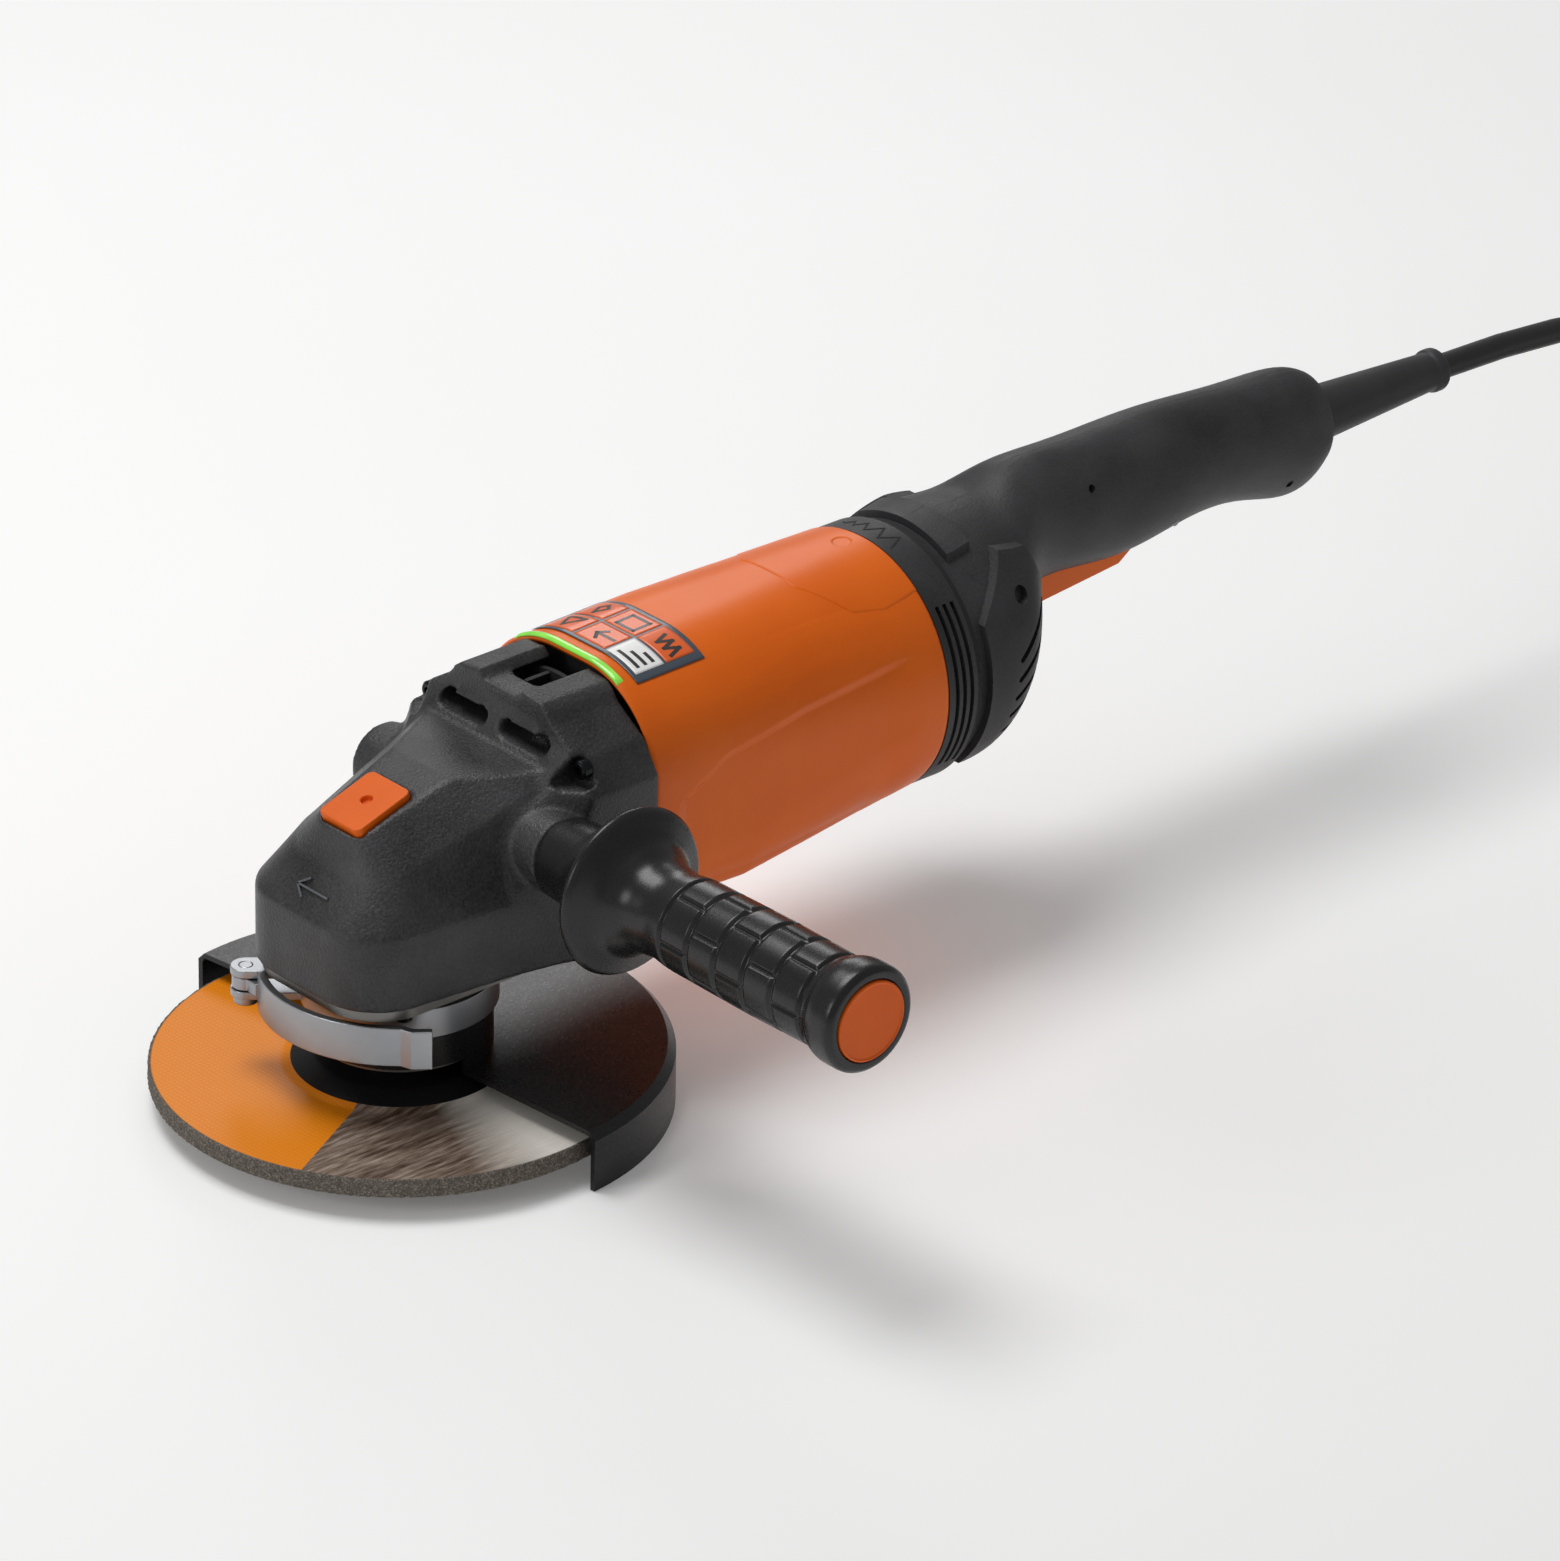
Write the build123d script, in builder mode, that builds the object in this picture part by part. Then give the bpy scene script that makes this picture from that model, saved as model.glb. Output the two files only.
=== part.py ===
from build123d import *
import os
from math import atan2, cos, degrees, pi, radians, sin, sqrt, tan

os.makedirs("parts", exist_ok=True)

# Frame: the spindle turns about Z, the disc's working face is Z = 0 and the motor lies along +X.
# The side handle points to -Y. All sizes are in millimetres.

# ---- Driving dimensions -------------------------------------------------
axis_z = 97.0  # height of the motor axis above the working face
gap = 0.3  # clearance between pieces that move past each other
fit = 0.05  # clearance of a piece that only has to slip in
disc_dia = 180.0
disc_thick = 7.0
disc_bore = 22.23
disc_rise = 4.6  # how far the hub sits above the working face
disc_hub_dia = 62.0  # diameter of the raised hub's flat
guard_dia = 197.0
guard_sheet = 2.0
guard_top = 15.0
guard_skirt = 23.0  # height of the skirt
guard_open_left = 98.0  # angle at which the covered side ends
guard_open_right = -86.0
neck_dia = 62.4  # cylinder that the guard clamps on
neck_low = 19.0
band_thick = 2.0
thread_dia = 14.0  # M14 spindle and side-handle thread
spindle_dia = 17.0  # seat of the lower spindle bearing
spindle_bearing_od = 40.0
spindle_bearing_high = 12.0
spindle_top_dia = 10.0
needle_od = 14.0
needle_high = 8.0
gear_module = 1.45
pinion_teeth = 12
crown_teeth = 41
face_width = 10.0
head_floor = 51.0  # underside of the gear head
head_ridge = 80.0  # top of its upright band
head_front = 46.5  # nose, ahead of the spindle axis
head_half = 39.0
head_corner = 24.0
head_wall = 4.0
rim_front = 46.0
rim_back = 78.0
rim_half = 50.0
rim_top = 140.0
rim_low = 51.0
housing_end = 218.0
housing_radius = 50.0
housing_wall = 3.0
armature_dia = 12.0  # journal of the armature shaft
armature_rear_dia = 8.0
front_bearing_od = 32.0
front_bearing_wide = 10.0
rear_bearing_od = 22.0
rear_bearing_wide = 7.0
rotor_dia = 52.0
rotor_start = 100.0
rotor_long = 62.0
air_gap = 0.7
stator_dia = 86.0
commutator_dia = 34.0
commutator_start = 180.0
commutator_long = 18.0
fan_dia = 82.0
fan_start = 60.0
fan_wide = 14.0
ring_long = 14.0
damper_long = 3.0
shroud_radius = 48.0
handle_wall = 3.0
grip_z = 130.0
grip_half_wide = 20.0
grip_half_high = 25.5
handle_end = 446.0
sleeve_z = 127.0
sleeve_dia = 22.0
sleeve_tip_dia = 15.0
sleeve_long = 73.0
cord_dia = 10.0
side_x = 33.0  # place of the side handle's socket
side_face = 50.0
side_flange_dia = 63.0
side_flange_y = 87.0
side_grip_dia = 34.0
side_knob_dia = 40.0
side_end = 210.0
side_cap_dia = 30.0
socket_deep = 18.0
lever_radius = 49.5
lever_thick = 3.0
lever_low = 31.0
lever_high = 15.0
pivot_radius = 54.5
pivot_angle = 140.0
lever_end_angle = 240.0
pivot_pin_dia = 5.0
paddle_front = 286.0
paddle_rear = 372.0
paddle_half = 9.0
paddle_low = 97.0
paddle_pivot_x = 366.0
paddle_pivot_z = 113.0
paddle_pin_dia = 4.0
button_dia = 7.0  # spindle-lock pin
button_at = -16.8  # middle of the spindle-lock button, along the slope
button_top = 120.0
button_thick = 4.5
lock_pin_at = -19.5
lock_pin_long = 12.0
lock_stroke = 3.5
floor_z = guard_top - guard_skirt

neck_radius = neck_dia / 2
motor = Plane.YZ  # sections across the motor axis; local x is Y and local y is Z


# ---- Small helpers ------------------------------------------------------
def ring(inner, outer, low, high):
    """A plain ring about the spindle axis, for pieces that turn or seat there."""
    with BuildPart() as piece:
        with BuildSketch(Plane.XY.offset(low)):
            Circle(outer)
            if inner > 0:
                Circle(inner, mode=Mode.SUBTRACT)
        extrude(amount=high - low)
    return piece.part


def motor_ring(inner, outer, start, end, y=0.0, z=axis_z):
    """A plain ring about the motor axis, or about a line parallel to it."""
    with BuildPart() as piece:
        with BuildSketch(motor.offset(start)):
            with Locations((y, z)):
                Circle(outer)
                if inner > 0:
                    Circle(inner, mode=Mode.SUBTRACT)
        extrude(amount=end - start)
    return piece.part


def block(x0, x1, y0, y1, z0, z1):
    """A box given by its limits."""
    with BuildPart() as piece:
        with BuildSketch(Plane.XY.offset(z0)):
            with Locations(((x0 + x1) / 2, (y0 + y1) / 2)):
                Rectangle(x1 - x0, y1 - y0)
        extrude(amount=z1 - z0)
    return piece.part


def screw(place, head_dia, head_high, shank_dia, length):
    """A pan-head screw with a six-lobe socket; the plane's origin is under its head."""
    with BuildPart() as piece:
        with BuildSketch(place):
            Circle(head_dia / 2)
        extrude(amount=head_high)
        chamfer(piece.faces().sort_by(Axis(place.origin, place.z_dir))[-1].edges(), head_high * 0.2)
        with BuildSketch(place):
            Circle(shank_dia / 2)
        extrude(amount=-length)
        with BuildSketch(place.offset(head_high)):
            RegularPolygon(head_dia * 0.24, 6)
        extrude(amount=-head_high * 0.6, mode=Mode.SUBTRACT)
    return piece.part


# ---- Grinding disc, flanges and spindle ---------------------------------
hub_top = disc_thick + disc_rise
bore_radius = disc_bore / 2

with BuildPart() as grinding_disc:
    with BuildSketch(Plane.XZ):
        with BuildLine():
            Polyline(
                (bore_radius + 1.5, disc_rise),
                (disc_hub_dia / 2 - 3, disc_rise),
                (disc_hub_dia / 2 + 8, 0),
                (disc_dia / 2 - 0.6, 0),
                (disc_dia / 2, 0.6),
                (disc_dia / 2, disc_thick - 0.6),
                (disc_dia / 2 - 0.6, disc_thick),
                (disc_hub_dia / 2 + 11, disc_thick),
                (disc_hub_dia / 2, hub_top),
                (bore_radius + 1.5, hub_top),
                close=True,
            )
        make_face()
    revolve(axis=Axis.Z)
grinding_disc.part.label = "grinding_disc"
export_step(grinding_disc.part, "parts/grinding_disc.step")

# The steel bush lines the disc's bore and has a thin rim on the hub's top.
with BuildPart() as disc_bush:
    add(ring(bore_radius, bore_radius + 1.5, disc_rise, hub_top))
disc_bush.part.label = "disc_bush"
export_step(disc_bush.part, "parts/disc_bush.step")

flange_dia = 40.0
flange_thick = 5.0
collar_deep = 3.3
flange_top = hub_top + flange_thick
thread_radius = thread_dia / 2
seat_radius = spindle_dia / 2

with BuildPart() as inner_flange:
    with BuildSketch(Plane.XZ):
        with BuildLine():
            Polyline(
                (thread_radius + fit, hub_top - collar_deep),
                (bore_radius - fit, hub_top - collar_deep),
                (bore_radius - fit, hub_top),
                (flange_dia / 2, hub_top),
                (flange_dia / 2, flange_top - 1.5),
                (flange_dia / 2 - 1.5, flange_top),
                (thread_radius + fit, flange_top),
                close=True,
            )
        make_face()
    revolve(axis=Axis.Z)
    with PolarLocations(flange_dia / 2, 2):
        Box(4, 12, 60, mode=Mode.SUBTRACT)
inner_flange.part.label = "inner_flange"
export_step(inner_flange.part, "parts/inner_flange.step")

# The outer nut has a flat round flange, a collar in the bore and four holes for a pin spanner.
nut_low = 0.4
with BuildPart() as clamp_nut:
    with BuildSketch(Plane.XZ):
        with BuildLine():
            Polyline(
                (thread_radius + fit, nut_low),
                (flange_dia / 2 - 1.0, nut_low),
                (flange_dia / 2, nut_low + 1.0),
                (flange_dia / 2, disc_rise),
                (bore_radius - fit, disc_rise),
                (bore_radius - fit, disc_rise + collar_deep),
                (thread_radius + fit, disc_rise + collar_deep),
                close=True,
            )
        make_face()
    revolve(axis=Axis.Z)
    with BuildSketch(Plane.XY.offset(nut_low)):
        with PolarLocations(14.5, 4):
            Circle(2.4)
    extrude(amount=2.5, mode=Mode.SUBTRACT)
clamp_nut.part.label = "clamp_nut"
export_step(clamp_nut.part, "parts/clamp_nut.step")

# Heights inside the neck, from the bottom up.
cap_low = flange_top + 0.9
bearing_low = neck_low + 3.0
bearing_high = bearing_low + spindle_bearing_high
shoulder_high = bearing_high + 5.0
needle_low = axis_z + 2.5
spindle_top = needle_low + needle_high
pinion_pitch = gear_module * pinion_teeth / 2
crown_pitch = gear_module * crown_teeth / 2
crown_low = axis_z - pinion_pitch - 14.0

with BuildPart() as spindle:
    with BuildSketch(Plane.XZ):
        with BuildLine():
            Polyline(
                (0, nut_low + 0.6),
                (thread_radius - 1, nut_low + 0.6),
                (thread_radius, nut_low + 1.6),
                (thread_radius, flange_top),
                (seat_radius, flange_top),
                (seat_radius, bearing_high),
                (seat_radius + 3, bearing_high),
                (seat_radius + 3, shoulder_high),
                (seat_radius, shoulder_high),
                (seat_radius, crown_low + 13.0),
                (spindle_top_dia / 2, crown_low + 14.0),
                (spindle_top_dia / 2, spindle_top - 0.8),
                (spindle_top_dia / 2 - 0.8, spindle_top),
                (0, spindle_top),
                close=True,
            )
        make_face()
    revolve(axis=Axis.Z)
    # Cross hole that the lock pin drops beside, and the flats of the M14 end.
    with BuildSketch(Plane.XY.offset(nut_low + 0.6)):
        RegularPolygon(4.0, 6)
    extrude(amount=7.0, mode=Mode.SUBTRACT)
spindle.part.label = "spindle"
export_step(spindle.part, "parts/spindle.step")


# ---- Bevel gears --------------------------------------------------------
# Both pitch cones share their point, where the spindle and motor axes cross. A tooth is a
# loft from its outer section to the same section shrunk towards that point.
cone_angle = atan2(pinion_teeth, crown_teeth)  # half angle of the pinion's pitch cone
cone_long = sqrt(pinion_pitch**2 + crown_pitch**2)
shrink = (cone_long - face_width) / cone_long
addendum = 0.85 * gear_module
dedendum = 1.15 * gear_module
tooth_share = 0.36  # pitch-line tooth thickness as a share of the circular pitch; the rest is backlash


def bevel_tooth(teeth, half_angle):
    """One straight tooth as a loft from its inner section to its outer one."""
    along = cone_long * cos(half_angle)
    out = cone_long * sin(half_angle)
    half = pi * out / teeth * tooth_share

    def section(scale):
        """Corners at a share of the cone distance, from just under the root to the tip."""
        corners = []
        for side, level, width in (
            (-1, -dedendum - 0.4, half * 1.5),
            (1, -dedendum - 0.4, half * 1.5),
            (1, addendum, half * 0.55),
            (-1, addendum, half * 0.55),
        ):
            radius = (out + level * cos(half_angle)) * scale
            height = (along - level * sin(half_angle)) * scale
            corners.append((radius, side * width * scale, height))
        return Face(Wire.make_polygon(corners, close=True))

    with BuildPart() as tooth:
        loft(sections=[section(shrink), section(1.0)])
    return tooth.part


def bevel_gear(teeth, half_angle, back):
    """A straight bevel gear with its cone point at the origin and its teeth along +Z."""
    root_out = cone_long * sin(half_angle) - dedendum * cos(half_angle)
    root_along = cone_long * cos(half_angle) + dedendum * sin(half_angle)
    tooth = bevel_tooth(teeth, half_angle)
    with BuildPart() as gear:
        with BuildSketch(Plane.XZ):
            with BuildLine():
                Polyline(
                    (0, root_along * shrink),
                    (root_out * shrink, root_along * shrink),
                    (root_out, root_along),
                    (root_out, root_along + back),
                    (0, root_along + back),
                    close=True,
                )
            make_face()
        revolve(axis=Axis.Z)
        with PolarLocations(0, teeth):
            add(tooth)
    return gear.part


crown_back = 5.0  # solid metal behind the crown gear's teeth
crown_rear = axis_z - pinion_pitch - dedendum * crown_teeth / sqrt(crown_teeth**2 + pinion_teeth**2) - crown_back
bevel_crown = bevel_gear(crown_teeth, pi / 2 - cone_angle, crown_back)
bevel_pinion = bevel_gear(pinion_teeth, cone_angle, 2.0)

# The crown gear's teeth face up, with a gap between teeth over +X; the pinion has a tooth at -Z.
with BuildPart() as crown_gear:
    add(bevel_crown.rotate(Axis.X, 180).rotate(Axis.Z, 180 / crown_teeth).translate((0, 0, axis_z)))
    with BuildSketch(Plane.XY.offset(crown_low)):
        Circle(15)
    extrude(amount=crown_rear - crown_low)
    with BuildSketch(Plane.XY.offset(crown_low - 5)):
        Circle(seat_radius + fit)
    extrude(amount=40, mode=Mode.SUBTRACT)
crown_gear.part.label = "crown_gear"
export_step(crown_gear.part, "parts/crown_gear.step")

pinion_bore = 4.0
with BuildPart() as pinion:
    add(bevel_pinion.rotate(Axis.Y, 90).translate((0, 0, axis_z)))
    with BuildSketch(motor.offset(10)):
        with Locations((0, axis_z)):
            Circle(pinion_bore + fit)
    extrude(amount=60, mode=Mode.SUBTRACT)
pinion.part.label = "pinion"
export_step(pinion.part, "parts/pinion.step")

# ---- Bearing flange, its screws, cap and bearings -------------------------
flange_plate = 4.0  # thickness of the plate under the gear head
plate_low = head_floor - flange_plate
bearing_radius = spindle_bearing_od / 2
gear_room = crown_pitch + 1.2  # radius of the gear chamber
flange_screw_at = 41.5
flange_screw_places = [(flange_screw_at * cos(radians(a)), flange_screw_at * sin(radians(a))) for a in (48, 128, 232, 312)]

with BuildPart() as bearing_flange:
    with BuildSketch(Plane.XY.offset(neck_low)):
        Circle(neck_radius)
    extrude(amount=head_floor - neck_low)
    with BuildSketch(Plane.XY.offset(plate_low)):
        RectangleRounded(88, 74, 22)
    extrude(amount=flange_plate)
    with BuildSketch(Plane.XY.offset(head_floor)):
        Circle(gear_room - fit)
    extrude(amount=4)
    with BuildSketch(Plane.XY.offset(bearing_high + 1.5)):
        Circle(gear_room - 6)
    extrude(amount=60, mode=Mode.SUBTRACT)
    with BuildSketch(Plane.XY.offset(neck_low)):
        Circle(bearing_radius - 3)
    extrude(amount=60, mode=Mode.SUBTRACT)
    with BuildSketch(Plane.XY.offset(neck_low)):
        Circle(bearing_radius)
    extrude(amount=bearing_high - neck_low, mode=Mode.SUBTRACT)
    with BuildSketch(Plane.XY.offset(plate_low)):
        with Locations(*flange_screw_places):
            Circle(2.0 + fit)
    extrude(amount=flange_plate, mode=Mode.SUBTRACT)
bearing_flange.part.label = "bearing_flange"
export_step(bearing_flange.part, "parts/bearing_flange.step")

with BuildPart() as flange_screws:
    for sx, sy in flange_screw_places:
        add(screw(Plane((sx, sy, plate_low), z_dir=(0, 0, -1)), 6.6, 2.2, 4.0, 11))
flange_screws.part.label = "flange_screws"
export_step(flange_screws.part, "parts/flange_screws.step")

# The cap retains the bearing and carries an arrowhead that points at the disc.
cap_radius = 28.0
with BuildPart() as bearing_cap:
    with BuildSketch(Plane.XZ):
        with BuildLine():
            Polyline(
                (seat_radius + 1.5, cap_low),
                (cap_radius, cap_low),
                (neck_radius, neck_low - 1),
                (neck_radius, neck_low),
                (seat_radius + 1.5, neck_low),
                close=True,
            )
        make_face()
    revolve(axis=Axis.Z)
bearing_cap.part.label = "bearing_cap"
export_step(bearing_cap.part, "parts/bearing_cap.step")

with BuildPart() as spindle_bearing:
    add(ring(seat_radius + 4, bearing_radius, bearing_low, bearing_high))
    with BuildSketch(Plane.XY.offset(bearing_low)):
        Circle(bearing_radius - 4)
        Circle(seat_radius + 4, mode=Mode.SUBTRACT)
    extrude(amount=0.6, mode=Mode.SUBTRACT)
spindle_bearing.part.label = "spindle_bearing_outer"
export_step(spindle_bearing.part, "parts/spindle_bearing_outer.step")

# The inner race turns with the spindle; the balls are left inside the races.
with BuildPart() as inner_race:
    add(ring(seat_radius, seat_radius + 3.6, bearing_low, bearing_high))
inner_race.part.label = "spindle_bearing_inner"
export_step(inner_race.part, "parts/spindle_bearing_inner.step")

with BuildPart() as needle_bearing:
    add(ring(spindle_top_dia / 2 + fit, needle_od / 2, needle_low, spindle_top))
needle_bearing.part.label = "needle_bearing"
export_step(needle_bearing.part, "parts/needle_bearing.step")


# ---- Gear head ------------------------------------------------------------
crown_slope = radians(18)  # the shoulders of the head rise towards the motor


def sloped(height):
    """The plane of the head's shoulders, raised by height; its origin is over the spindle."""
    return Plane((0, 0, height), x_dir=(cos(crown_slope), 0, sin(crown_slope)), z_dir=(-sin(crown_slope), 0, cos(crown_slope)))


def nose_face(plane, front, rear, half_front, half_rear, corner):
    """One closed outline of the nose with the same six edges at every level."""
    with BuildSketch() as flat:
        with BuildLine():
            Line((rear, half_rear), (front + corner, half_front))
            CenterArc((front + corner, half_front - corner), corner, 90, 90)
            Line((front, half_front - corner), (front, corner - half_front))
            CenterArc((front + corner, corner - half_front), corner, 180, 90)
            Line((front + corner, -half_front), (rear, -half_rear))
            Line((rear, -half_rear), (rear, half_rear))
        make_face()
    return plane * flat.sketch.faces()[0]


def shoulder_face(x, half, edge, bevel_half, bevel_high, top_half, top_high):
    """A section of the head across the motor axis: upright flanks, bevelled shoulders and a flat top."""
    with BuildSketch() as flat:
        with BuildLine():
            Polyline(
                (-half, head_floor),
                (-half, edge),
                (-bevel_half, bevel_high),
                (-top_half, top_high),
                (top_half, top_high),
                (bevel_half, bevel_high),
                (half, edge),
                (half, head_floor),
                close=True,
            )
        make_face()
    return motor.offset(x) * flat.sketch.faces()[0]


head_screw_y = 41.0
head_screw_up = 25.0
head_screw_places = [(y, axis_z + z) for y in (-head_screw_y, head_screw_y) for z in (-head_screw_up, head_screw_up)]
head_screw_deep = 5.0
head_screw_long = rim_back - rim_front - head_screw_deep - 2
valley_high = 120.5  # top of the head between the button and the rim
vent_z = 126.5  # middle height of the air outlets
button_long = 26.0
button_wide = 22.0
head_joint = 52.0  # x where the nose runs into the rim

teeth_high = axis_z - pinion_pitch + addendum + gap  # roof of the chamber over the crown gear's rim
chamber_top = axis_z - (pinion_pitch - addendum) * shrink + 1.5
holder_lip = 1.5  # shoulder of the front bearing's holder
holder_at = fan_start - 4 - front_bearing_wide - holder_lip

with BuildPart() as gear_head:
    loft(
        sections=[
            nose_face(Plane.XY.offset(head_floor), -head_front, head_joint, head_half, head_half + 8, head_corner),
            nose_face(Plane.XY.offset(head_ridge), -head_front, head_joint, head_half, head_half + 8, head_corner),
            nose_face(sloped(105), -36, head_joint, 28, 36, 18),
            nose_face(sloped(118), -31, head_joint, 13, 20, 9),
        ],
        ruled=True,
    )
    # The shoulders spread from the nose to the rim's full width.
    loft(
        sections=[
            shoulder_face(16, 43, 84, 32, 108, 15, 119),
            shoulder_face(34, 46.5, 95, 38, 113, 22, 120),
            shoulder_face(rim_front, rim_half, 112, 43, 126, 27, 131),
        ],
        ruled=True,
    )
    # Behind the button the top levels out, then climbs to the rim.
    with BuildSketch(Plane.XZ.offset(rim_half)):
        with BuildLine():
            Polyline(
                (6, valley_high + 0.8),
                (30, valley_high),
                (40, valley_high + 0.8),
                (rim_front - 0.5, valley_high + 12.5),
                (rim_front - 0.5, rim_top + 20),
                (6, rim_top + 20),
                close=True,
            )
        make_face()
    extrude(amount=-2 * rim_half, mode=Mode.SUBTRACT)
    with BuildSketch(motor.offset(rim_front)):
        with BuildLine():
            Polyline(
                (-rim_half + 12, rim_low),
                (-rim_half, rim_low + 12),
                (-rim_half, rim_top - 26),
                (-rim_half + 8, rim_top - 14),
                (-28, rim_top - 5),
                (-25, rim_top - 1),
                (-22, rim_top + 1),
                (-12, rim_top + 2),
                (-9, rim_top - 1),
                (9, rim_top - 1),
                (12, rim_top + 2),
                (22, rim_top + 1),
                (25, rim_top - 1),
                (28, rim_top - 5),
                (rim_half - 8, rim_top - 14),
                (rim_half, rim_top - 26),
                (rim_half, rim_low + 12),
                (rim_half - 12, rim_low),
                close=True,
            )
        make_face()
    extrude(amount=rim_back - rim_front)
    # Boss for the side handle on both flanks.
    with BuildSketch(Plane.XZ.offset(side_face)):
        with Locations((side_x, axis_z)):
            Circle(14)
    extrude(amount=-2 * side_face)
    # Gear chamber, pinion room, and the open fan room at the back.
    with BuildSketch(Plane.XZ):
        with BuildLine():
            Polyline(
                (0, head_floor),
                (gear_room, head_floor),
                (gear_room, teeth_high),
                (gear_room * shrink, chamber_top),
                (0, chamber_top),
                close=True,
            )
        make_face()
    revolve(axis=Axis.Z, mode=Mode.SUBTRACT)
    with BuildSketch(motor.offset(14)):
        with Locations((0, axis_z)):
            Circle(front_bearing_od / 2 - 2)
    extrude(amount=rim_back, mode=Mode.SUBTRACT)
    with BuildSketch(motor.offset(fan_start - 2)):
        with Locations((0, axis_z)):
            Circle(fan_dia / 2 + 1.5)
    extrude(amount=rim_back, mode=Mode.SUBTRACT)
    with BuildSketch(motor.offset(holder_at)):
        with Locations((0, axis_z)):
            Circle(front_bearing_od / 2 + 4 + fit)
    extrude(amount=fan_start - holder_at, mode=Mode.SUBTRACT)
    # Seat of the needle bearing in the roof, over the spindle's top.
    with BuildSketch(Plane.XY.offset(axis_z - pinion_pitch)):
        Circle(spindle_top_dia / 2 + 1)
    extrude(amount=needle_low - axis_z + pinion_pitch, mode=Mode.SUBTRACT)
    with BuildSketch(Plane.XY.offset(needle_low)):
        Circle(needle_od / 2)
    extrude(amount=needle_high + 0.5, mode=Mode.SUBTRACT)
    with BuildSketch(Plane.XY.offset(head_floor)):
        with Locations(*flange_screw_places):
            Circle(2 + fit)
    extrude(amount=9, mode=Mode.SUBTRACT)
    # Pockets and holes for the four head screws.
    with BuildSketch(motor.offset(rim_front)):
        with Locations(*head_screw_places):
            Circle(4.6)
    extrude(amount=head_screw_deep, mode=Mode.SUBTRACT)
    # The upper pockets open forwards as triangles.
    for side in (-1, 1):
        with BuildSketch(motor.offset(rim_front - 8)):
            with BuildLine():
                Polyline(
                    (side * (head_screw_y - 6), axis_z + head_screw_up - 5.5),
                    (side * (head_screw_y + 7), axis_z + head_screw_up - 6),
                    (side * (head_screw_y + 1), axis_z + head_screw_up + 11),
                    close=True,
                )
            make_face()
        extrude(amount=8 + head_screw_deep, mode=Mode.SUBTRACT)
    with BuildSketch(motor.offset(rim_front)):
        with Locations(*head_screw_places):
            Circle(2 + fit)
    extrude(amount=head_screw_deep + head_screw_long + 1, mode=Mode.SUBTRACT)
    # Two air outlets in the rim above the shoulders, and a slot in each lower flank.
    with BuildSketch(motor.offset(rim_front - 8)):
        with Locations((-16.5, vent_z), (16.5, vent_z)):
            SlotOverall(26, 6.5)
    extrude(amount=24, mode=Mode.SUBTRACT)
    # Recess and bore of the spindle lock.
    with BuildSketch(sloped(button_top).offset(10)):
        with Locations((button_at, 0)):
            RectangleRounded(button_long + 2 * gap, button_wide + 2 * gap, 3)
    extrude(amount=-10 - button_thick - lock_stroke - gap, mode=Mode.SUBTRACT)
    with BuildSketch(sloped(button_top)):
        with Locations((lock_pin_at, 0)):
            Circle(button_dia / 2 + gap)
    extrude(amount=-30, mode=Mode.SUBTRACT)
    # Threaded sockets for the side handle.
    with BuildSketch(Plane.XZ.offset(side_face)):
        with Locations((side_x, axis_z)):
            Circle(thread_radius)
    extrude(amount=-socket_deep, mode=Mode.SUBTRACT)
    with BuildSketch(Plane.XZ.offset(-side_face)):
        with Locations((side_x, axis_z)):
            Circle(thread_radius)
    extrude(amount=socket_deep, mode=Mode.SUBTRACT)
gear_head.part.label = "gear_head"
export_step(gear_head.part, "parts/gear_head.step")

# Cap screws hold the head to the motor housing.
with BuildPart() as head_screws:
    for sy, sz in head_screw_places:
        add(screw(Plane((rim_front + head_screw_deep, sy, sz), z_dir=(-1, 0, 0)), 7.4, 4.0, 4.0, head_screw_long))
head_screws.part.label = "head_screws"
export_step(head_screws.part, "parts/head_screws.step")


# ---- Armature: shaft, core, windings, commutator, fan and bearings ---------
shaft_front = 20.0
front_bearing_at = fan_start - front_bearing_wide - 4
journal = armature_dia / 2
rear_bearing_at = housing_end - rear_bearing_wide - 1

with BuildPart() as armature_shaft:
    with BuildSketch(Plane.XZ):
        with BuildLine():
            Polyline(
                (shaft_front, 0),
                (shaft_front, pinion_bore - 0.8),
                (shaft_front + 0.8, pinion_bore),
                (front_bearing_at - 3, pinion_bore),
                (front_bearing_at - 3, journal),
                (rear_bearing_at, journal),
                (rear_bearing_at, armature_rear_dia / 2),
                (rear_bearing_at + rear_bearing_wide, armature_rear_dia / 2),
                (rear_bearing_at + rear_bearing_wide, 0),
                close=True,
            )
        make_face()
    revolve(axis=Axis.X)
armature_shaft.part.position = (0, 0, axis_z)
armature_shaft.part.label = "armature_shaft"
export_step(armature_shaft.part, "parts/armature_shaft.step")

slots = 12
with BuildPart() as armature_core:
    add(motor_ring(journal, rotor_dia / 2, rotor_start, rotor_start + rotor_long))
    with BuildSketch(motor.offset(rotor_start)):
        with Locations((0, axis_z)):
            with PolarLocations(rotor_dia / 2 - 4, slots):
                Rectangle(9, 4.4)
    extrude(amount=rotor_long, mode=Mode.SUBTRACT)
armature_core.part.label = "armature_core"
export_step(armature_core.part, "parts/armature_core.step")

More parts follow.
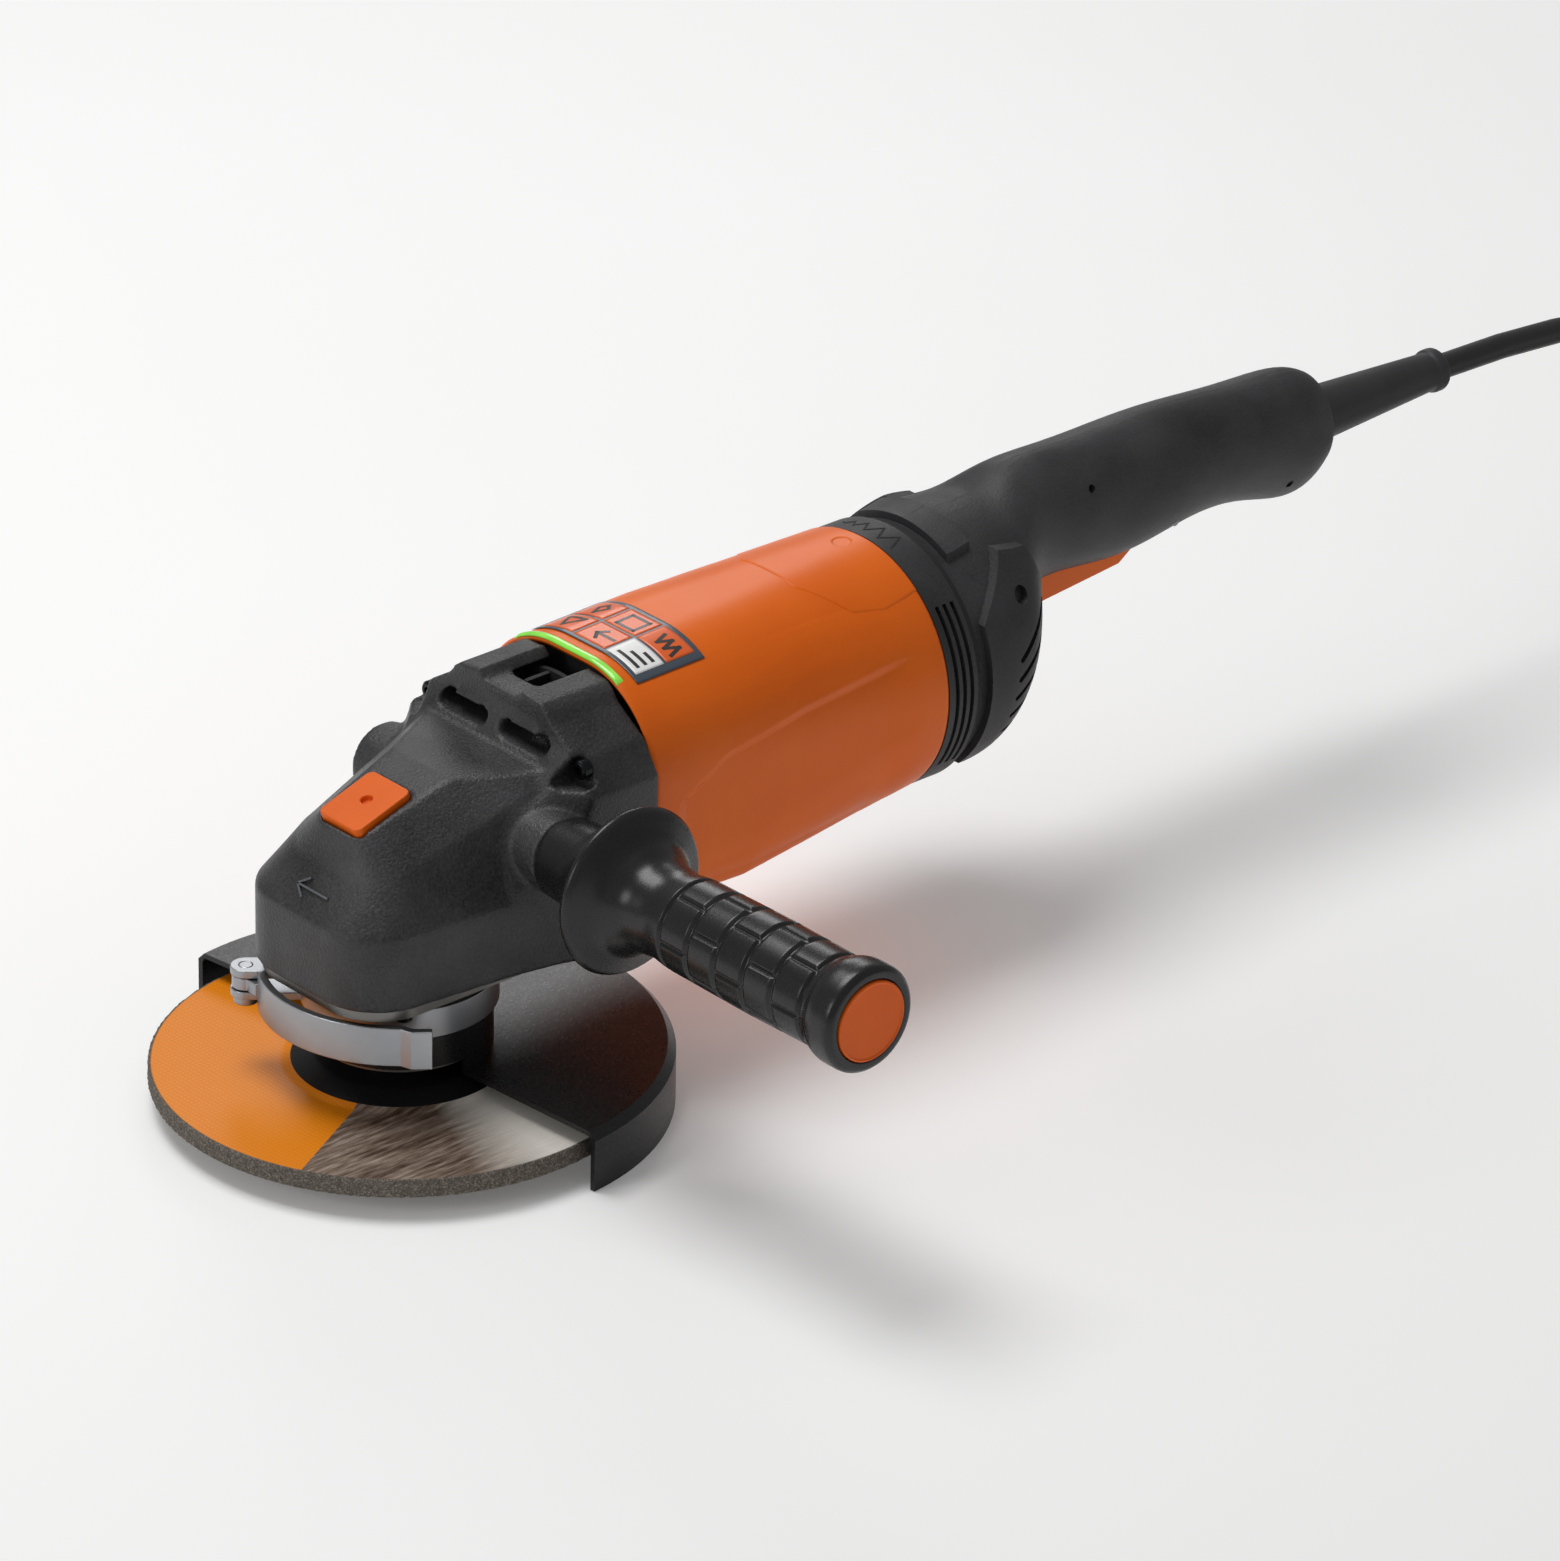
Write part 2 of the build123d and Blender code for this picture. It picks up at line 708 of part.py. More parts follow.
# Copper in every slot, joined by the coil heads at both ends of the core.
with BuildPart() as armature_windings:
    with BuildSketch(motor.offset(rotor_start - 8)):
        with Locations((0, axis_z)):
            Circle(rotor_dia / 2 - 3)
            Circle(journal, mode=Mode.SUBTRACT)
    extrude(amount=8)
    with BuildSketch(motor.offset(rotor_start + rotor_long)):
        with Locations((0, axis_z)):
            Circle(rotor_dia / 2 - 3)
            Circle(journal, mode=Mode.SUBTRACT)
    extrude(amount=9)
    with BuildSketch(motor.offset(rotor_start)):
        with Locations((0, axis_z)):
            with PolarLocations(rotor_dia / 2 - 5.6, slots):
                Rectangle(5.6, 4.2)
    extrude(amount=rotor_long)
armature_windings.part.label = "armature_windings"
export_step(armature_windings.part, "parts/armature_windings.step")

with BuildPart() as commutator:
    add(motor_ring(journal, commutator_dia / 2, commutator_start, commutator_start + commutator_long))
    with BuildSketch(motor.offset(commutator_start)):
        with Locations((0, axis_z)):
            with PolarLocations(commutator_dia / 2 - 0.5, 24):
                Rectangle(1.4, 0.6)
    extrude(amount=commutator_long, mode=Mode.SUBTRACT)
commutator.part.label = "commutator"
export_step(commutator.part, "parts/commutator.step")

fan_blades = 18
with BuildPart() as fan:
    add(motor_ring(journal, fan_dia / 2 - 1, fan_start + fan_wide - 2, fan_start + fan_wide))
    add(motor_ring(journal, journal + 5, fan_start, fan_start + fan_wide - 2))
    with BuildSketch(motor.offset(fan_start + 1)):
        with Locations((0, axis_z)):
            with PolarLocations(fan_dia / 2 - 9, fan_blades):
                Rectangle(16, 1.4, rotation=25)
    extrude(amount=fan_wide - 3)
fan.part.label = "fan"
export_step(fan.part, "parts/fan.step")

# The plate between head and motor carries the front bearing.
with BuildPart() as bearing_plate:
    add(motor_ring(front_bearing_od / 2, front_bearing_od / 2 + 4, front_bearing_at, front_bearing_at + front_bearing_wide))
    with BuildSketch(motor.offset(front_bearing_at)):
        with Locations((0, axis_z)):
            Circle(front_bearing_od / 2 + 4)
            Circle(journal + 3, mode=Mode.SUBTRACT)
    extrude(amount=-holder_lip)
bearing_plate.part.label = "bearing_holder"
export_step(bearing_plate.part, "parts/bearing_holder.step")

with BuildPart() as front_bearing:
    add(motor_ring(journal + fit, front_bearing_od / 2, front_bearing_at, front_bearing_at + front_bearing_wide))
front_bearing.part.label = "armature_front_bearing"
export_step(front_bearing.part, "parts/armature_front_bearing.step")

with BuildPart() as rear_bearing:
    add(motor_ring(armature_rear_dia / 2 + fit, rear_bearing_od / 2, rear_bearing_at + 0.4, rear_bearing_at + rear_bearing_wide))
rear_bearing.part.label = "armature_rear_bearing"
export_step(rear_bearing.part, "parts/armature_rear_bearing.step")


# ---- Stator, brushes and air baffle ----------------------------------------
stator_bore = rotor_dia / 2 + air_gap
with BuildPart() as stator_core:
    with BuildSketch(motor.offset(rotor_start)):
        with Locations((0, axis_z)):
            Circle(stator_dia / 2)
            Circle(stator_bore, mode=Mode.SUBTRACT)
            with Locations((0, stator_bore + 5), (0, -stator_bore - 5)):
                Rectangle(30, 13, mode=Mode.SUBTRACT)
    extrude(amount=rotor_long)
stator_core.part.label = "stator_core"
export_step(stator_core.part, "parts/stator_core.step")

with BuildPart() as stator_windings:
    for side in (-1, 1):
        with BuildSketch(motor.offset(rotor_start - 10)):
            with Locations((0, axis_z + side * (stator_bore + 6.2))):
                Rectangle(29.4, 10)
        extrude(amount=rotor_long + 20)
stator_windings.part.label = "stator_windings"
export_step(stator_windings.part, "parts/stator_windings.step")

brush_x = commutator_start + commutator_long / 2
brush_size = 8.0
commutator_radius = commutator_dia / 2
with BuildPart() as brushes:
    for side in (-1, 1):
        with BuildSketch(Plane.XZ.offset(side * (commutator_radius + fit))):
            with Locations((brush_x, axis_z)):
                Rectangle(brush_size, brush_size)
        extrude(amount=side * 12)
brushes.part.label = "carbon_brushes"
export_step(brushes.part, "parts/carbon_brushes.step")

with BuildPart() as brush_holders:
    for side in (-1, 1):
        with BuildSketch(Plane.XZ.offset(side * (commutator_radius + 2))):
            with Locations((brush_x, axis_z)):
                Rectangle(brush_size + 4, brush_size + 4)
                Rectangle(brush_size + 2 * fit, brush_size + 2 * fit, mode=Mode.SUBTRACT)
        extrude(amount=side * 21)
brush_holders.part.label = "brush_holders"
export_step(brush_holders.part, "parts/brush_holders.step")

with BuildPart() as air_baffle:
    add(motor_ring(rotor_dia / 2 + 2, rim_half - housing_wall - 3.5, rotor_start - 16, rotor_start - 13))
air_baffle.part.label = "air_baffle"
export_step(air_baffle.part, "parts/air_baffle.step")


# ---- Motor housing, its cover, label and light strip --------------------------
def barrel_face(x, half_wide, low, high, corner_low, corner_high):
    """A section across the motor axis: flat sides, with rounder corners above than below."""
    with BuildSketch() as flat:
        with BuildLine():
            Line((half_wide, low + corner_low), (half_wide, high - corner_high))
            CenterArc((half_wide - corner_high, high - corner_high), corner_high, 0, 90)
            Line((half_wide - corner_high, high), (corner_high - half_wide, high))
            CenterArc((corner_high - half_wide, high - corner_high), corner_high, 90, 90)
            Line((-half_wide, high - corner_high), (-half_wide, low + corner_low))
            CenterArc((corner_low - half_wide, low + corner_low), corner_low, 180, 90)
            Line((corner_low - half_wide, low), (half_wide - corner_low, low))
            CenterArc((half_wide - corner_low, low + corner_low), corner_low, 270, 90)
        make_face()
    return motor.offset(x) * flat.sketch.faces()[0]


def barrel(grow):
    """The motor housing's outer shape, squarish at the head and round at the rear, grown evenly."""
    radius = housing_radius + grow
    with BuildPart() as shape:
        loft(
            sections=[
                barrel_face(rim_back, rim_half - 2 + grow, rim_low - 1 - grow, rim_top + 4 + grow, 24 + grow, 39 + grow),
                barrel_face(130, rim_half - 1 + grow, rim_low - 5 - grow, rim_top + 6 + grow, 30 + grow, 42 + grow),
                barrel_face(housing_end, radius, axis_z - radius, axis_z + radius, radius - 0.2, radius - 0.2),
            ],
            ruled=True,
        )
    return shape.part


housing_body = barrel(0)
housing_room = barrel(-housing_wall)
cover_start = 143.0
cover_half = 30.0
cover_screw_x = 208.0
cover_top = axis_z + housing_radius - 12

with BuildPart() as cover_block:
    with BuildSketch(Plane.XY.offset(cover_top)):
        with BuildLine():
            Polyline(
                (cover_start, -14),
                (cover_start + 28, -cover_half),
                (housing_end + 1, -cover_half),
                (housing_end + 1, cover_half),
                (cover_start + 28, cover_half),
                (cover_start, 14),
                close=True,
            )
        make_face()
    extrude(amount=30)

with BuildPart() as top_cover:
    add(housing_body)
    add(housing_room, mode=Mode.SUBTRACT)
    add(cover_block.part, mode=Mode.INTERSECT)
    with BuildSketch(Plane.XY.offset(cover_top)):
        with Locations((cover_screw_x, 0)):
            Circle(3.4)
    extrude(amount=30, mode=Mode.SUBTRACT)
top_cover.part.label = "top_cover"
export_step(top_cover.part, "parts/top_cover.step")

# Light strip: a curved lens in the gap between the head's rim and the housing.
strip_wide = 3.0
with BuildPart() as led_strip:
    add(barrel(0.6))
    add(barrel(-1.2), mode=Mode.SUBTRACT)
    add(block(rim_back + fit, rim_back + strip_wide, -26, 30, axis_z + 30, rim_top + 20), mode=Mode.INTERSECT)
led_strip.part.label = "led_strip"
export_step(led_strip.part, "parts/led_strip.step")

stator_fit = stator_dia / 2 + fit
with BuildPart() as motor_housing:
    add(housing_body)
    add(housing_room, mode=Mode.SUBTRACT)
    add(motor_ring(stator_fit, housing_radius - housing_wall + 1, rotor_start + 6, rotor_start + 12))
    add(motor_ring(stator_fit, housing_radius - housing_wall + 1, rotor_start + rotor_long - 12, rotor_start + rotor_long - 6))
    add(motor_ring(rear_bearing_od / 2, rear_bearing_od / 2 + 3, rear_bearing_at, housing_end))
    with BuildSketch(motor.offset(rear_bearing_at)):
        with Locations((0, axis_z)):
            Rectangle(2 * housing_radius - 2 * housing_wall + 2, 10)
            Circle(rear_bearing_od / 2 + 2, mode=Mode.SUBTRACT)
    extrude(amount=housing_end - rear_bearing_at)
    add(cover_block.part, mode=Mode.SUBTRACT)
    add(led_strip.part, mode=Mode.SUBTRACT)
motor_housing.part.label = "motor_housing"
export_step(motor_housing.part, "parts/motor_housing.step")

label_start = 85.0
label_long = 33.0
with BuildPart() as label_plate:
    add(barrel(0.5))
    add(barrel(0), mode=Mode.SUBTRACT)
    add(block(label_start, label_start + label_long, -29, 29, axis_z + 20, rim_top + 20), mode=Mode.INTERSECT)
label_plate.part.label = "label_plate"
export_step(label_plate.part, "parts/label_plate.step")

with BuildPart() as cover_screw:
    add(screw(Plane((cover_screw_x, 0, axis_z + housing_radius - housing_wall - 2.4), z_dir=(0, 0, 1)), 6.2, 2.4, 3.0, 5))
cover_screw.part.label = "cover_screw"
export_step(cover_screw.part, "parts/cover_screw.step")

# ---- Rear ring, damper and handle ---------------------------------------------
ring_end = housing_end + ring_long
damper_end = ring_end + damper_long
louvre_low = 42.0  # the slots run from this angle below the axis
louvre_sweep = 78.0
with BuildPart() as intake_ring:
    add(motor_ring(rear_bearing_od / 2 + 3, housing_radius, housing_end, ring_end))
    add(motor_ring(rear_bearing_od / 2 + 8, housing_radius - housing_wall, housing_end, ring_end - 3), mode=Mode.SUBTRACT)
    # Three louvre slots on each flank, one behind the other.
    for flank in (0, 180):
        for step in range(3):
            with BuildSketch(motor.offset(housing_end + 3 + 3.6 * step)):
                with BuildLine():
                    outer = CenterArc((0, axis_z), housing_radius + 1, flank - louvre_low, louvre_sweep)
                    inner = CenterArc((0, axis_z), housing_radius - 5, flank - louvre_low, louvre_sweep)
                    Line(outer @ 0, inner @ 0)
                    Line(outer @ 1, inner @ 1)
                make_face()
            extrude(amount=1.8, mode=Mode.SUBTRACT)
intake_ring.part.label = "intake_ring"
export_step(intake_ring.part, "parts/intake_ring.step")

with BuildPart() as damper_ring:
    add(motor_ring(housing_radius - 7, housing_radius - 1.2, ring_end, damper_end))
damper_ring.part.label = "damper_ring"
export_step(damper_ring.part, "parts/damper_ring.step")



def handle_face(x, z, half_wide, half_high, grow):
    """An oval section of the handle as eight arcs of one ellipse-like outline."""
    with BuildSketch() as flat:
        Ellipse(half_wide + grow, half_high + grow)
    return Plane((x, 0, z), x_dir=(0, 1, 0), z_dir=(1, 0, 0)) * flat.sketch.faces()[0]


def handle_shape(grow):
    """Shroud and grip as one smooth body, grown evenly; negative values give its inside."""
    end = grow if grow < 0 else 0
    stations = (
        (damper_end, axis_z, shroud_radius, shroud_radius),
        (damper_end + 12, axis_z + 1.5, shroud_radius - 0.5, shroud_radius - 0.5),
        (262, axis_z + 6.5, shroud_radius - 2.5, shroud_radius - 4),
        (272, axis_z + 15, shroud_radius - 10, shroud_radius - 12),
        (281, axis_z + 25, shroud_radius - 20, shroud_radius - 18),
        (292, grip_z - 1.5, grip_half_wide + 1.5, grip_half_high + 1.5),
        (312, grip_z, grip_half_wide, grip_half_high),
        (365, grip_z, grip_half_wide - 0.5, grip_half_high),
        (405, grip_z - 1, grip_half_wide - 0.5, grip_half_high - 2),
        (428, grip_z - 4, grip_half_wide, grip_half_high),
        (handle_end + end, sleeve_z, grip_half_wide - 3, grip_half_high - 6),
    )
    with BuildPart() as shape:
        loft(sections=[handle_face(*station, grow) for station in stations])
    return shape.part


handle_outer = handle_shape(0)
handle_inner = handle_shape(-handle_wall)

slot_half = paddle_half + gap
screw_seat = 12.0  # how far left of the middle plane the shell screws' heads sit
handle_screw_places = [(262.0, 140.0), (318.0, 142.0), (424.0, 112.0)]
panel_x0 = damper_end + 4
panel_x1 = 278.0
panel_z0 = 60.0
panel_z1 = 140.0
panel_out = 3.0


# A raised bar runs across the top of the shroud, just behind the damper.
bar_start = damper_end + 4
bar_long = 11.0
bar_half = 24.0
bar_high = 3.0
with BuildPart() as shroud_bar_body:
    add(handle_shape(bar_high))
    add(handle_outer, mode=Mode.SUBTRACT)
    add(block(bar_start, bar_start + bar_long, -bar_half, bar_half, axis_z + 20, rim_top + 30), mode=Mode.INTERSECT)
shroud_bar = shroud_bar_body.part


def handle_shell(side):
    """One half shell: -1 is the operator's right (-Y) half, 1 the other."""
    y0, y1 = (-60, 0) if side < 0 else (0, 60)
    with BuildPart() as shell:
        add(handle_outer)
        add(handle_inner, mode=Mode.SUBTRACT)
        # Screw towers that meet on the middle plane.
        for tx, tz in handle_screw_places:
            with BuildSketch(Plane.XZ.offset(30)):
                with Locations((tx, tz)):
                    Circle(4.2)
            extrude(amount=-60)
        add(handle_outer, mode=Mode.INTERSECT)
        add(shroud_bar)
        for tx, tz in handle_screw_places:
            with BuildSketch(Plane.XZ.offset(-60)):
                with Locations((tx, tz)):
                    Circle(1.5 + fit)
            extrude(amount=80, mode=Mode.SUBTRACT)
            with BuildSketch(Plane.XZ.offset(-60)):
                with Locations((tx, tz)):
                    Circle(3.0)
            extrude(amount=60 - screw_seat, mode=Mode.SUBTRACT)
        with BuildSketch(Plane.XZ.offset(-paddle_half - 5)):
            with Locations((paddle_pivot_x, paddle_pivot_z)):
                Circle(paddle_pin_dia / 2)
        extrude(amount=2 * paddle_half + 10, mode=Mode.SUBTRACT)
        # Paddle slot, cord exit and the window under each vent panel.
        add(block(paddle_front - 6, paddle_rear + 2, -slot_half, slot_half, 60, grip_z - 14), mode=Mode.SUBTRACT)
        add(motor_ring(0, sleeve_dia / 2 + fit, handle_end - 12, handle_end + 4, 0, sleeve_z), mode=Mode.SUBTRACT)
        add(block(panel_x0 + 4, panel_x1 - 18, side * 25, side * 60, panel_z0 + 18, panel_z1 - 34), mode=Mode.SUBTRACT)
        add(block(200, 460, y0, y1, 0, 200), mode=Mode.INTERSECT)
    return shell.part


with BuildPart() as handle_right:
    add(handle_shell(-1))
handle_right.part.label = "handle_right"
export_step(handle_right.part, "parts/handle_right.step")

with BuildPart() as handle_left:
    add(handle_shell(1))
handle_left.part.label = "handle_left"
export_step(handle_left.part, "parts/handle_left.step")

with BuildPart() as handle_screws:
    for tx, tz in handle_screw_places:
        add(screw(Plane((tx, screw_seat, tz), z_dir=(0, 1, 0)), 5.6, 2.0, 3.0, 20))
handle_screws.part.label = "handle_screws"
export_step(handle_screws.part, "parts/handle_screws.step")


def vent_panel(side):
    """A louvred cover over the intake window, following the shroud's surface."""
    with BuildPart() as panel:
        add(handle_shape(panel_out))
        add(handle_outer, mode=Mode.SUBTRACT)
        with BuildSketch(Plane.XZ.offset(-side * 20)):
            with BuildLine():
                Polyline(
                    (panel_x0, panel_z0),
                    (panel_x0, panel_z1 - 20),
                    (panel_x0 + 19, panel_z1),
                    (panel_x1 - 7, panel_z1 - 2),
                    (panel_x1 - 1, panel_z1 - 18),
                    (panel_x1, panel_z1 - 40),
                    (panel_x1 - 9, panel_z0 + 12),
                    (panel_x0 + 11, panel_z0 - 4),
                    close=True,
                )
            make_face()
        extrude(amount=-side * 50, mode=Mode.INTERSECT)
        # Louvres fan out towards the rear, steeper from one to the next.
        for step in range(6):
            tilt = 0.25 + 0.12 * step
            with BuildSketch(Plane((panel_x1 - 15, 0, panel_z0 + 9 + 8.5 * step), x_dir=(1, 0, tilt), z_dir=(0, 1, 0))):
                SlotOverall(26, 2.2)
            extrude(amount=side * 60, mode=Mode.SUBTRACT)
        with BuildSketch(Plane.XZ.offset(-side * 20)):
            with Locations((panel_x0 + 20, panel_z1 - 14)):
                Circle(3.2)
        extrude(amount=-side * 50, mode=Mode.SUBTRACT)
    return panel.part


with BuildPart() as vent_panel_right:
    add(vent_panel(-1))
vent_panel_right.part.label = "vent_panel_right"
export_step(vent_panel_right.part, "parts/vent_panel_right.step")

with BuildPart() as vent_panel_left:
    add(vent_panel(1))
vent_panel_left.part.label = "vent_panel_left"
export_step(vent_panel_left.part, "parts/vent_panel_left.step")

# Electronics in the shroud, and the switch above the paddle.
with BuildPart() as electronics:
    add(block(242, 254, -24, 24, axis_z - 18, axis_z + 22))
    fillet(electronics.edges().filter_by(Axis.X), 3)
    for fin in range(5):
        add(block(240, 242, -20 + 9 * fin, -16 + 9 * fin, axis_z - 14, axis_z + 18))
electronics.part.label = "electronics_module"
export_step(electronics.part, "parts/electronics_module.step")

with BuildPart() as switch_unit:
    add(block(328, 358, -8, 8, 124, 146))
    fillet(switch_unit.edges().filter_by(Axis.Y), 1.5)
    add(block(332, 336, -3, 3, 120.5, 124))
switch_unit.part.label = "switch_unit"
export_step(switch_unit.part, "parts/switch_unit.step")


# ---- Cord sleeve, clamp, cord, coil and plug ------------------------------------
sleeve_tip = handle_end + sleeve_long
sleeve_radius = sleeve_dia / 2
tip_radius = sleeve_tip_dia / 2
with BuildPart() as cord_sleeve:
    with BuildSketch(Plane.XZ):
        with BuildLine():
            Polyline(
                (handle_end - 11, 0),
                (handle_end - 11, sleeve_radius),
                (handle_end + 4, sleeve_radius),
                (sleeve_tip - 4, tip_radius),
                (sleeve_tip - 3.4, tip_radius + 1),
                (sleeve_tip - 0.6, tip_radius + 1),
                (sleeve_tip, tip_radius),
                (sleeve_tip, 0),
                close=True,
            )
        make_face()
    revolve(axis=Axis.X)
cord_sleeve.part.position = (0, 0, sleeve_z)
cord_sleeve.part.label = "cord_sleeve"
export_step(cord_sleeve.part, "parts/cord_sleeve.step")

with BuildPart() as cord_clamp:
    add(block(handle_end - 34, handle_end - 24, -10, 10, sleeve_z - 2, sleeve_z + 3))
cord_clamp.part.label = "cord_clamp"
export_step(cord_clamp.part, "parts/cord_clamp.step")

# The cord leaves the sleeve straight, drops to the ground and runs into the coil.
cord_radius = cord_dia / 2
coil_x = 668.0
coil_y = -96.0
coil_mean = 60.0  # twelve diameters across the middle of the turns
coil_columns = 3
coil_layers = 4
cord_route = [
    (519, 0, 127),
    (594, 0, 127),
    (676, -4, 104),
    (732, -18, 56),
    (744, -62, 14),
    (738, -104, -3),
    (719, -145, -3),
]


def corner_radii(route):
    """Radius of the arc at each inner point: as large as its two runs allow."""
    radii = []
    for before, here, after in zip(route, route[1:], route[2:]):
        first = Vector(*here) - Vector(*before)
        second = Vector(*after) - Vector(*here)
        half_turn = radians(first.get_angle(second)) / 2
        radii.append(0.45 * min(first.length, second.length) / tan(half_turn))
    return radii


cord_radii = corner_radii(cord_route)
print("cord radii", [round(r) for r in cord_radii])

with BuildPart() as cord_tube:
    with BuildLine() as cord_path:
        FilletPolyline(*cord_route, radius=cord_radii)
    with BuildSketch(Plane(cord_route[0], z_dir=Vector(*cord_route[1]) - Vector(*cord_route[0]))):
        Circle(cord_radius)
    sweep()
cord_run = sum(edge.length for edge in cord_path.edges())
print("cord run", round(cord_run), "volume share", round(cord_tube.part.volume / (pi * cord_radius**2 * cord_run), 4))
cord_tube.part.label = "cord_tube"
export_step(cord_tube.part, "parts/cord_tube.step")

# The coil as one solid of its outer shape, lying on the ground.
with BuildPart() as cord_coil:
    with BuildSketch(Plane.XY.offset(floor_z)):
        with Locations((coil_x, coil_y)):
            Circle(coil_mean + cord_dia * coil_columns / 2)
            Circle(coil_mean - cord_dia * coil_columns / 2, mode=Mode.SUBTRACT)
    extrude(amount=cord_dia * coil_layers)
    fillet(cord_coil.edges(), cord_radius * 0.9)
cord_coil.part.label = "cord_coil"
export_step(cord_coil.part, "parts/cord_coil.step")

# The plug lies on the ground beside the coil, at the end of the last turn.
plug_x = 590.0
plug_y = -184.0
plug_high = 26.0
plug_wide = 33.0
plug_z = floor_z + plug_high / 2
plug_long = 46.0
pin_spacing = 19.0
plug_place = Plane((plug_x, plug_y, plug_z), x_dir=(0, 1, 0), z_dir=(-1, 0, 0))

with BuildPart() as plug_body:
    with BuildSketch(plug_place):
        Circle(cord_radius)
    with BuildSketch(plug_place.offset(14)):
        Circle(7)
    loft()
    with BuildSketch(plug_place.offset(14)):
        Circle(7)
    with BuildSketch(plug_place.offset(26)):
        RectangleRounded(plug_wide, plug_high, 11)
    loft()
    with BuildSketch(plug_place.offset(26)):
        RectangleRounded(plug_wide, plug_high, 11)
    extrude(amount=plug_long - 26)
    with BuildSketch(plug_place.offset(plug_long)):
        with Locations((-pin_spacing / 2, 0), (pin_spacing / 2, 0)):
            Circle(2.4)
    extrude(amount=-6, mode=Mode.SUBTRACT)
plug_body.part.label = "plug_body"
export_step(plug_body.part, "parts/plug_body.step")

with BuildPart() as plug_pins:
    with BuildSketch(plug_place.offset(plug_long - 6)):
        with Locations((-pin_spacing / 2, 0), (pin_spacing / 2, 0)):
            Circle(2.4)
    extrude(amount=25)
    fillet(plug_pins.faces().sort_by(Axis.X)[:2].edges(), 1.2)
plug_pins.part.label = "plug_pins"
export_step(plug_pins.part, "parts/plug_pins.step")

# The cord's last stretch, from the coil's outer turn to the plug.
tail_route = [
    (668, -166, 27),
    (640, -171, 22),
    (612, -180, 10),
    (590, -184, 5),
]
tail_radii = corner_radii(tail_route)
print("tail radii", [round(r) for r in tail_radii])
with BuildPart() as cord_tail:
    with BuildLine():
        FilletPolyline(*tail_route, radius=tail_radii)
    with BuildSketch(Plane(tail_route[0], z_dir=Vector(*tail_route[1]) - Vector(*tail_route[0]))):
        Circle(cord_radius)
    sweep()
cord_tail.part.label = "cord_tail"
export_step(cord_tail.part, "parts/cord_tail.step")


# ---- Guard with its clamp band and quick lever -----------------------------------
guard_radius = guard_dia / 2
collar_in = neck_radius + gap
collar_out = collar_in + guard_sheet
guard_sweep = guard_open_left - guard_open_right
band_low = 33.0
band_high = 44.5
band_out = collar_out + band_thick

with BuildPart() as guard_shell:
    with BuildSketch(Plane.XZ):
        with BuildLine():
            Polyline(
                (collar_in, guard_top - guard_sheet),
                (guard_radius - 3, guard_top - guard_sheet),
                (guard_radius - guard_sheet, guard_top - guard_sheet - 1.6),
                (guard_radius - guard_sheet, floor_z),
                (guard_radius, floor_z),
                (guard_radius, guard_top - 3),
                (guard_radius - 3, guard_top),
                (collar_out, guard_top),
                (collar_out, band_high),
                (collar_in, band_high),
                close=True,
            )
        make_face()
    revolve(axis=Axis.Z, revolution_arc=guard_sweep)
rolled = guard_shell.part.rotate(Axis.Z, guard_open_right)

with BuildPart() as guard:
    add(rolled)
    add(ring(collar_in, collar_out, neck_low + 1, band_high))
    # Stiffening lip turned out along both open edges of the plate, and index notches.
    for turn in range(5):
        angle = radians(150 + 12 * turn)
        with BuildSketch(Plane.XY.offset(neck_low + 5)):
            with Locations(Location((collar_in * cos(angle), collar_in * sin(angle)), 150 + 12 * turn)):
                Rectangle(12, 2.4)
        extrude(amount=4, mode=Mode.SUBTRACT)
guard.part.label = "guard"
export_step(guard.part, "parts/guard.step")

pivot_x = pivot_radius * cos(radians(pivot_angle))
pivot_y = pivot_radius * sin(radians(pivot_angle))
pin_radius = pivot_pin_dia / 2

with BuildPart() as clamp_band:
    add(ring(collar_out, band_out, band_low, band_high))
    for low, high in ((band_low, band_low + 3), (band_high - 3, band_high)):
        with BuildSketch(Plane.XY.offset(low)):
            with Locations(Location((0, 0), pivot_angle)):
                with Locations(((band_out - 1 + pivot_radius) / 2, 0)):
                    Rectangle(pivot_radius - band_out + 1, 11)
                with Locations((pivot_radius, 0)):
                    Circle(5.5)
            Circle(band_out - 0.6, mode=Mode.SUBTRACT)
        extrude(amount=high - low)
    with BuildSketch(Plane.XY.offset(band_low)):
        with Locations((pivot_x, pivot_y)):
            Circle(pin_radius)
    extrude(amount=band_high - band_low, mode=Mode.SUBTRACT)
clamp_band.part.label = "clamp_band"
export_step(clamp_band.part, "parts/clamp_band.step")

with BuildPart() as lever_pin:
    with BuildSketch(Plane.XY.offset(band_low)):
        with Locations((pivot_x, pivot_y)):
            Circle(pin_radius)
    extrude(amount=band_high - band_low)
    with BuildSketch(Plane.XY.offset(band_low)):
        with Locations((pivot_x, pivot_y)):
            Circle(4.5)
    extrude(amount=-3)
lever_pin.part.label = "lever_pin"
export_step(lever_pin.part, "parts/lever_pin.step")

